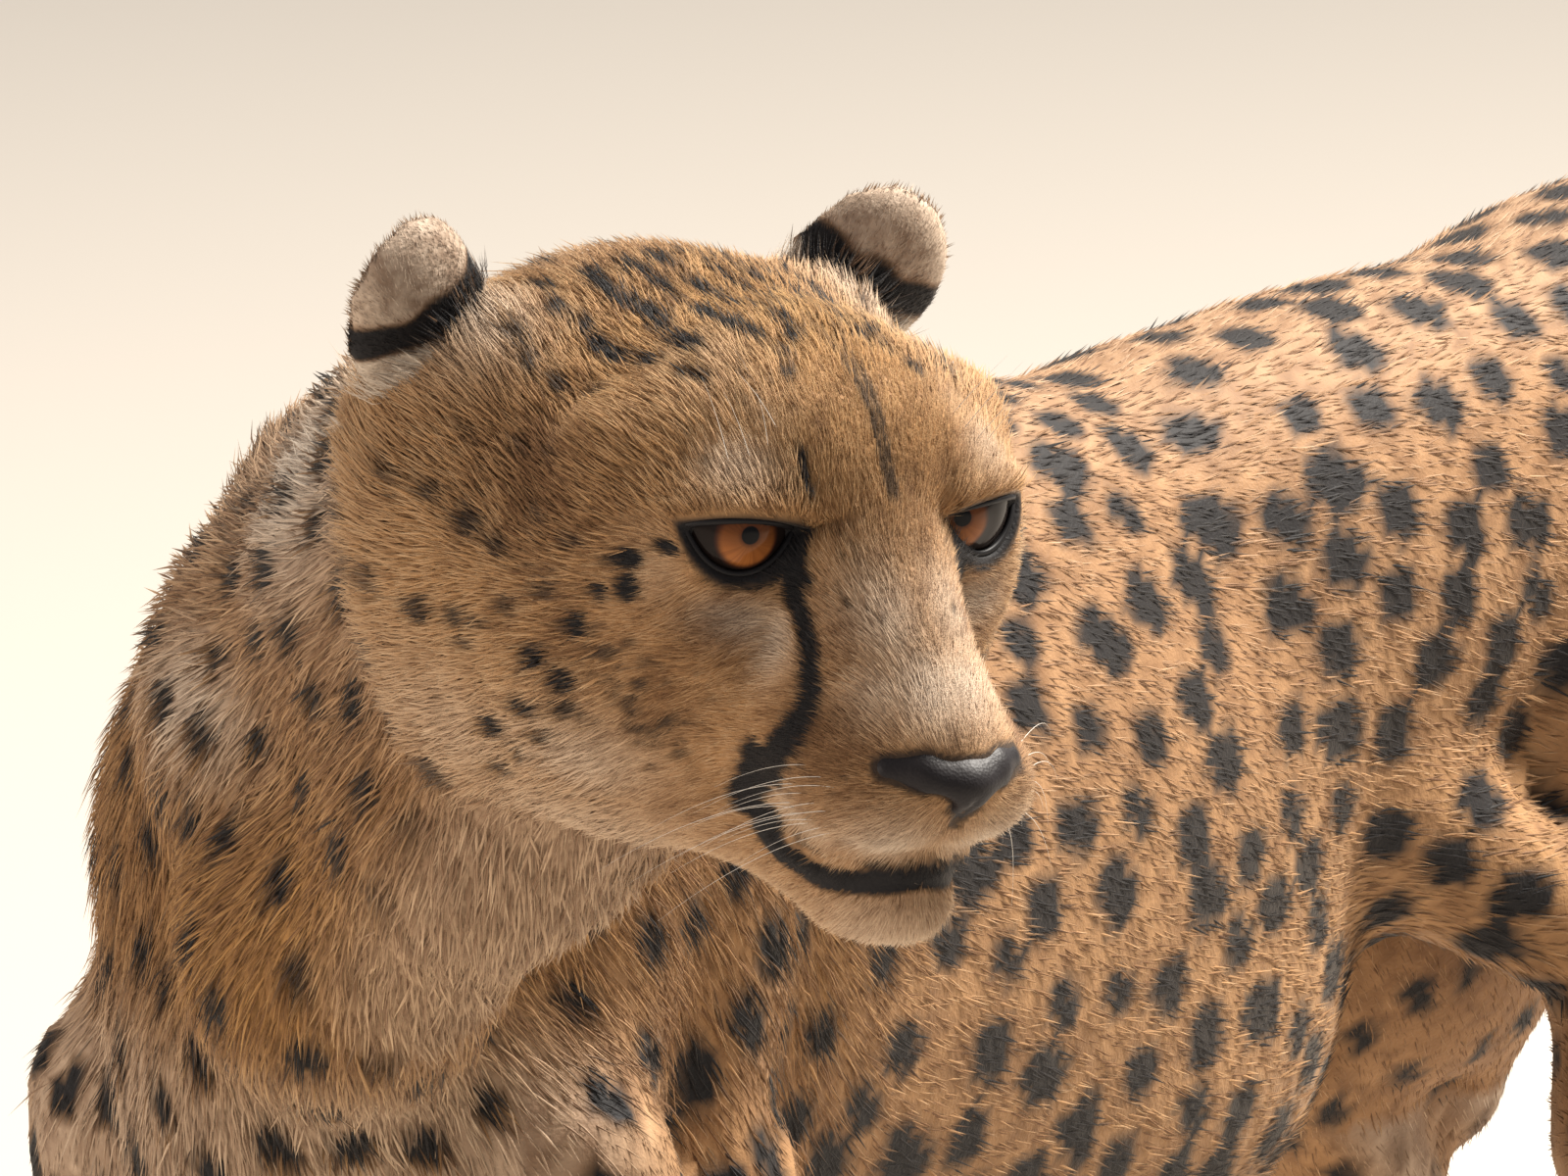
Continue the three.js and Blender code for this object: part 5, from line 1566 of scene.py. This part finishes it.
def whisker_tree():
    """Turns each path into a tapering tube of the given thickness and paint."""
    tree = bpy.data.node_groups.new("whiskers", "GeometryNodeTree")
    face = tree.interface
    face.new_socket("Geometry", in_out="INPUT", socket_type="NodeSocketGeometry")
    face.new_socket("Thickness", in_out="INPUT", socket_type="NodeSocketFloat")
    face.new_socket("Paint", in_out="INPUT", socket_type="NodeSocketMaterial")
    face.new_socket("Geometry", in_out="OUTPUT", socket_type="NodeSocketGeometry")
    start, end = tree.nodes.new("NodeGroupInput"), tree.nodes.new("NodeGroupOutput")
    curve, solid, realize, finish = (tree.nodes.new("GeometryNode" + kind) for kind in
                                     ("MeshToCurve", "CurveToMesh", "RealizeInstances", "SetMaterial"))
    profile = tree.nodes.new("GeometryNodeCurvePrimitiveCircle")
    profile.inputs["Resolution"].default_value = WHISKER_SIDES
    taper = tree.nodes.new("GeometryNodeInputNamedAttribute")
    taper.inputs["Name"].default_value = "taper"
    solid.inputs["Fill Caps"].default_value = True
    for a, b in ((start.outputs["Geometry"], curve.inputs[0]),
                 (start.outputs["Thickness"], profile.inputs["Radius"]),
                 (taper.outputs["Attribute"], solid.inputs["Scale"]),
                 (curve.outputs[0], solid.inputs["Curve"]),
                 (profile.outputs["Curve"], solid.inputs["Profile Curve"]),
                 (solid.outputs[0], realize.inputs[0]), (realize.outputs[0], finish.inputs[0]),
                 (start.outputs["Paint"], finish.inputs["Material"]),
                 (finish.outputs[0], end.inputs[0])):
        tree.links.new(a, b)
    return tree


def lay_whiskers():
    """Each whisker's root and way in the head's frame, its length and how much it droops."""
    rng, paths = np.random.default_rng(31), []
    for side in SIDES.values():
        for height, back, count in WHISKER_ROWS:
            for x_at in np.linspace(-19, back, count):
                root = np.array([x_at, 24.0, height - 0.12 * (x_at + 17)])
                way = unit(np.array([-0.6 + 0.02 * (x_at + 25), 0.72, -0.1 + 0.02 * (height + 12)])
                           + rng.normal(0, 0.1, 3))
                paths.append((mirrored(root, side), mirrored(way, side), rng.uniform(20, 44), LIP_DROOP))
        for root in BROW_WHISKERS:
            way = unit(np.array([0.1, 0.5, 0.85]) + rng.normal(0, 0.12, 3))
            paths.append((mirrored(root, side), mirrored(way, side), rng.uniform(18, 30), BROW_DROOP))
    return paths


def whisker_paths():
    """All the paths in one mesh of edges, with how thick each bend is in the attribute taper."""
    points, edges, taper = [], [], []
    for root, way, long, droop in lay_whiskers():
        root, way = on_hide(from_head(root))[0], way @ HEAD_TURN
        share = np.linspace(0, 1, WHISKER_BENDS)[:, None]
        fall = (np.array([0, 0, -1.0]) - 0.5 * HEAD_TURN[0]) * droop * long * 0.36
        path = root - way * WHISKER_SUNK + way * long * share + fall * share ** 2
        edges += [(len(points) + i, len(points) + i + 1) for i in range(WHISKER_BENDS - 1)]
        points += ((path + WITHERS) * MM).tolist()
        taper += np.linspace(1, WHISKER_TIP_SHARE, WHISKER_BENDS).tolist()
    mesh = bpy.data.meshes.new("whiskers")
    mesh.from_pydata(points, edges, [])
    mesh.attributes.new("taper", "FLOAT", "POINT").data.foreach_set("value", taper)
    return mesh


def add_whiskers():
    strands = bpy.data.objects.new("whiskers", whisker_paths())
    bpy.context.scene.collection.objects.link(strands)
    growth = strands.modifiers.new("growth", "NODES")
    growth.node_group = whisker_tree()
    sizes = {"Thickness": WHISKER_RADIUS * MM,
             "Paint": Paint("whisker").finish(Base_Color=(0.80, 0.74, 0.66), Roughness=0.4)}
    for item in growth.node_group.interface.items_tree:
        if item.in_out == "INPUT" and item.name in sizes:
            growth[item.identifier] = sizes[item.name]
    bpy.context.view_layer.update()
    made = bpy.data.meshes.new_from_object(
        strands.evaluated_get(bpy.context.evaluated_depsgraph_get()))
    bpy.data.objects.remove(strands)
    made.polygons.foreach_set("use_smooth", np.ones(len(made.polygons), bool))
    add_piece("whiskers", made, "coat")


add_whiskers()

# ------------------------------------------------------------------ claws
# Blunt dark claws that never draw in, four to each paw, and a dew claw on each foreleg. Each
# is a horn cone that curves down from the toe.
CLAW_RINGS, CLAW_SIDES = 9, 8
claw_paint = Paint("claw").finish(Base_Color=(0.045, 0.034, 0.028), Roughness=0.35)


def box_of(name):
    """The lowest and highest corner of a node's box, in millimetres of the body's frame."""
    return (np.array(corner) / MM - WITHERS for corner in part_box(name))


def claw(name):
    """A curved cone that fills the claw's solid from its root at the back to its tip."""
    low, high = box_of(name)
    share = np.linspace(0, 1, CLAW_RINGS)
    x = low[0] + (high[0] - low[0]) * np.sin(share * math.pi / 2)
    thick = (high[1] - low[1]) / 2
    z = high[2] - thick - (high[2] - low[2] - thick) * (1 - np.cos(share * math.pi / 2))
    path = np.stack([x, np.full(CLAW_RINGS, (low[1] + high[1]) / 2), z], axis=1)
    return tube(path, thick * (1 - 0.9 * share ** 1.3), CLAW_SIDES)


def dewclaw(name):
    """A thumb claw: it leaves the hide on the inner side of the leg and hooks forward and down."""
    low, high = box_of(name)
    middle = (low + high) / 2
    root = on_hide(middle)[0]
    out = unit(middle - root)
    share = np.linspace(0, 1, CLAW_RINGS)[:, None]
    path = (root + out * (7.5 * np.sin(share * 2.2) - 2.5) + np.array([9.0, 0, 0]) * share
            + np.array([0, 0, -10.0]) * share ** 1.6)
    return tube(path, 3.4 * (1 - 0.88 * share[:, 0] ** 1.2), CLAW_SIDES)


for name in SIDES:
    for paw in ("fore", "hind"):
        nodes = [f"{paw}claw_{name}_{i}" for i in (1, 2, 3, 4)]
        claws = [claw(node) for node in nodes]
        if paw == "fore":
            nodes.append(f"dewclaw_{name}")
            claws.append(dewclaw(nodes[-1]))
        mesh = join_pieces("claws", claws)
        mesh.materials.append(claw_paint)
        add_piece(f"{paw}claws_{name}", mesh, "claw", *nodes)

# ------------------------------------------------------------------ floor and light
# The floor is one pale sheet. A large soft lamp stands high behind the animal's left side, a
# faint one low in front fills the shade, and a plain dim sky lights the rest.
LAMP_AIM = Vector((0.4, 0.0, 0.6))
SKY, SKY_STRENGTH = (0.86, 0.88, 0.92, 1), 0.34
FLOOR_HALF = 9.0


def add_lamp(name, place, size, power, colour):
    data = bpy.data.lights.new(name, "AREA")
    data.shape, data.size, data.energy, data.color = "DISK", size, power, colour
    lamp = bpy.data.objects.new(name, data)
    lamp.location = place
    aim = LAMP_AIM - lamp.location
    lamp.rotation_euler = aim.to_track_quat("-Z", "Y").to_euler()
    bpy.context.scene.collection.objects.link(lamp)


def add_sky():
    world = bpy.data.worlds.new("studio")
    world.use_nodes = True
    background = world.node_tree.nodes["Background"]
    background.inputs["Color"].default_value = SKY
    background.inputs["Strength"].default_value = SKY_STRENGTH
    bpy.context.scene.world = world


def add_floor():
    mesh, far = bpy.data.meshes.new("floor"), FLOOR_HALF
    mesh.from_pydata([(-far, -far, 0), (far, -far, 0), (far, far, 0), (-far, far, 0)], [], [(0, 1, 2, 3)])
    mesh.materials.append(Paint("floor").finish(Base_Color=(0.52, 0.475, 0.42), Roughness=0.9))
    floor = bpy.data.objects.new("floor", mesh)
    bpy.context.scene.collection.objects.link(floor)


add_lamp("high lamp", (-3.3, 1.6, 5.8), 2.0, 1400, (1.0, 0.94, 0.86))
add_lamp("fill lamp", (4.6, -2.2, 1.2), 3.0, 120, (1.0, 0.86, 0.74))
add_sky()
bpy.context.scene.view_settings.view_transform = "Standard"
add_floor()
